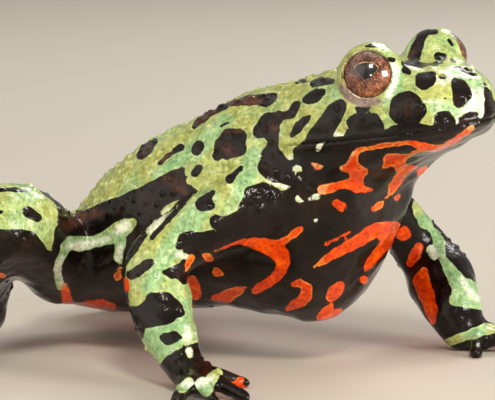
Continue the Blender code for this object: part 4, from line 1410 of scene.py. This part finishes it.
# The lid's bare edge: thin wet skin, pale gold with dark breaks.
def rim_skin():
    material, tree, shader = new_material("wet_lid_edge")
    where = add(tree, "ShaderNodeTexCoord").outputs["Object"]
    patch = add(
        tree, "ShaderNodeTexNoise", {"Vector": where, "Scale": 1 / (0.8 * MM), "Detail": 3.0}
    ).outputs["Fac"]
    colour = add(
        tree, "ShaderNodeValToRGB", {"Fac": patch},
        stops=((0.34, "#5a4830"), (0.44, "#b3a478"), (0.6, "#e2dcb4")),
    ).outputs["Color"]
    fill(tree, shader, {"Base Color": colour, "Roughness": 0.3, "Coat Weight": 0.8, "Coat Roughness": 0.08})
    return material


# Eyes


def bridge(bm, rings):
    """Faces between each ring of vertices and the next."""
    for a, b in zip(rings, rings[1:]):
        for k in range(len(a)):
            bm.faces.new((a[k - 1], b[k - 1], b[k], a[k]))


def eyeball(name, sign):
    """An eye with a slightly raised cornea, its rings dense round the gaze."""
    place, right, up, gaze = eye_axes(sign)
    bm = bmesh.new()
    rings = []
    for row in range(1, EYE_ROWS):
        turn = math.pi * (row / EYE_ROWS) ** EYE_CROWD
        radius = EYEBALL + CORNEA_RISE * math.exp(-((turn / CORNEA_WIDTH) ** 2))
        flat, deep = math.sin(turn) * radius, gaze * math.cos(turn) * radius
        ring = []
        for k in range(EYE_AROUND):
            spin = 2 * math.pi * k / EYE_AROUND
            offset = right * math.cos(spin) * flat + up * math.sin(spin) * flat + deep
            ring.append(bm.verts.new(place + offset))
        rings.append(ring)
    front = bm.verts.new(place + gaze * (EYEBALL + CORNEA_RISE))
    rear = bm.verts.new(place - gaze * EYEBALL)
    bridge(bm, rings)
    for k in range(EYE_AROUND):
        bm.faces.new((front, rings[0][k - 1], rings[0][k]))
        bm.faces.new((rear, rings[-1][k], rings[-1][k - 1]))
    bmesh.ops.recalc_face_normals(bm, faces=bm.faces)
    obj = from_bmesh(name, bm)
    obj.data.shade_smooth()
    iris_places(obj.data, sign)
    return obj


def iris_places(mesh, sign):
    """Where each place is on the iris: past the pupil's edge, out, high, rearward and along a streak."""
    x, y, _ = in_eye(read(mesh), sign)
    x = -sign * x
    out = np.hypot(x, y)
    x, y = x - PUPIL_CENTRE[0], y - PUPIL_CENTRE[1]
    top = np.hypot(x, y + PUPIL_TOP[0]) - PUPIL_TOP[1]
    sides = abs(x) * PUPIL_SIDES[0] - y * PUPIL_SIDES[1] - PUPIL_SIDES[2]
    set_attribute(mesh, "pupil", smooth_max(top, sides, PUPIL_ROUND))
    set_attribute(mesh, "out", out)
    set_attribute(mesh, "high", y)
    set_attribute(mesh, "rear", -x)
    angle = np.arctan2(y, x)
    lines = [np.cos(angle) * STREAKS_ROUND, np.sin(angle) * STREAKS_ROUND, np.hypot(x, y) * STREAKS_OUT]
    lines = np.stack(lines, -1)
    streak = mesh.attributes.new("streak", "FLOAT_VECTOR", "POINT")
    streak.data.foreach_set("vector", lines.astype(np.float32).ravel())


def lid_rim(name, sign):
    """The bead of wet skin round the eye's opening, a little thicker below."""
    place, right, up, gaze = eye_axes(sign)
    bm = bmesh.new()
    rings = []
    for k in range(EYE_AROUND):
        spin = 2 * math.pi * k / EYE_AROUND
        out = right * math.cos(spin) + up * math.sin(spin)
        bead = RIM_BEAD * (1 + RIM_THICKER * max(0, -math.sin(spin)))
        middle = place + out * (LID_RING + RIM_OUT) + gaze * math.sqrt(EYEBALL**2 - LID_RING**2) * RIM_FORWARD
        ring = []
        for j in range(RIM_SIDES):
            turn = 2 * math.pi * j / RIM_SIDES
            ring.append(bm.verts.new(middle + out * math.cos(turn) * bead + gaze * math.sin(turn) * bead))
        rings.append(ring)
    bridge(bm, [rings[-1], *rings])
    bmesh.ops.recalc_face_normals(bm, faces=bm.faces)
    obj = from_bmesh(name, bm)
    obj.data.shade_smooth()
    return obj


# Put together


def frame_shift():
    """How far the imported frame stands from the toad's own, read from the right eye's place."""
    low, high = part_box("eye_right")
    return (low + high) / 2 - on_head(EYE_PLACE, -1) * MM


def place_in_frame(obj, shift):
    obj.data.transform(Matrix.Translation(shift) @ Matrix.Scale(MM, 4))


def make_skin(material):
    skin = remeshed(joined(flesh_forms(), "skin"), FUSE_VOXEL)
    fill_creases(skin, rounds=36, hollow=0.5, ridge=0.04)
    remeshed(skin, SKIN_VOXEL)
    smooth(skin, rounds=4)
    keep_above_floor(skin)
    eye_hollows(skin)
    nostrils_and_loose_skin(skin)
    warty_share(skin)
    with_warts(skin, material)
    mouth_line(skin)
    keep_above_floor(skin)
    thinned(skin, SKIN_TRIANGLES)
    markings_and_painted_light(skin)
    skin.data.shade_smooth()
    return skin


def set_camera(shift):
    camera = bpy.data.cameras.new("camera")
    camera.sensor_width = SENSOR_WIDTH
    camera.lens = FOCAL_PIXELS / FRAME_SIZE[0] * SENSOR_WIDTH
    camera.clip_start, camera.clip_end = 0.01, 20
    holder = new_object("camera", camera)
    turn = Matrix((VIEW_RIGHT, VIEW_UP, VIEW_BACK)).transposed().to_4x4()
    holder.matrix_world = Matrix.Translation(VIEW_PLACE * MM + shift) @ turn
    bpy.context.scene.camera = holder


# Square lights, in metres and watts: place from the middle of the floor, side, power and colour.
LIGHTS = {
    "key": ((0.16, -0.18, 0.3), 0.08, 0.7, "#fff4e6"),
    "low": ((0.27, -0.33, 0.1), 0.035, 0.22, "#fff8f0"),
    "side": ((-0.2, -0.4, 0.16), 0.6, 0.95, "#fff6ec"),
    "front": ((0.35, 0.02, 0.1), 0.12, 0.95, "#fffaf4"),
    "fill": ((-0.25, -0.25, 0.24), 0.6, 0.55, "#fff4e8"),
    "back": ((-0.05, 0.3, 0.25), 0.15, 0.6, "#ffffff"),
}
LIGHT_AIM = Vector((0, 0, 0.012))
FLOOR_HALF, FLOOR_COLOUR = 3, "#c9c2b6"
SKY_COLOUR, SKY_STRENGTH = "#ebe6df", 0.33


def studio():
    """A pale floor under an even pale sky, with lights in front, at the sides and behind."""
    bpy.context.scene.view_settings.view_transform = "Standard"
    bm = bmesh.new()
    bmesh.ops.create_grid(bm, x_segments=1, y_segments=1, size=FLOOR_HALF)
    floor = from_bmesh("floor", bm)
    # A matt painted board.
    material, tree, shader = new_material("pale_floor")
    fill(tree, shader, {"Base Color": linear(FLOOR_COLOUR), "Roughness": 0.9})
    floor.data.materials.append(material)
    world = bpy.data.worlds.new("studio")
    bpy.context.scene.world = world
    world.use_nodes = True
    sky = world.node_tree.nodes["Background"]
    fill(world.node_tree, sky, {"Color": linear(SKY_COLOUR), "Strength": SKY_STRENGTH})
    for name, (place, size, power, colour) in LIGHTS.items():
        light = bpy.data.lights.new(name, "AREA")
        light.size = size
        light.energy = power
        light.color = linear(colour)[:3]
        holder = new_object(name, light)
        holder.location = place
        holder.rotation_euler = (Vector(place) - LIGHT_AIM).to_track_quat("Z", "Y").to_euler()


def main():
    shift = frame_shift()
    skin = make_skin(wet_skin())
    place_in_frame(skin, shift)
    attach(skin, "root")
    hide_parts(*FLESH)
    glass, edge = eye_glass(), rim_skin()
    for side, sign in SIDES:
        eye = eyeball("eyeball_" + side, sign)
        eye.data.materials.append(glass)
        place_in_frame(eye, shift)
        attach(eye, "root")
        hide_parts("eye_" + side)
        rim = lid_rim("lid_rim_" + side, sign)
        rim.data.materials.append(edge)
        place_in_frame(rim, shift)
        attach(rim, "root")
    set_camera(shift)
    studio()


main()
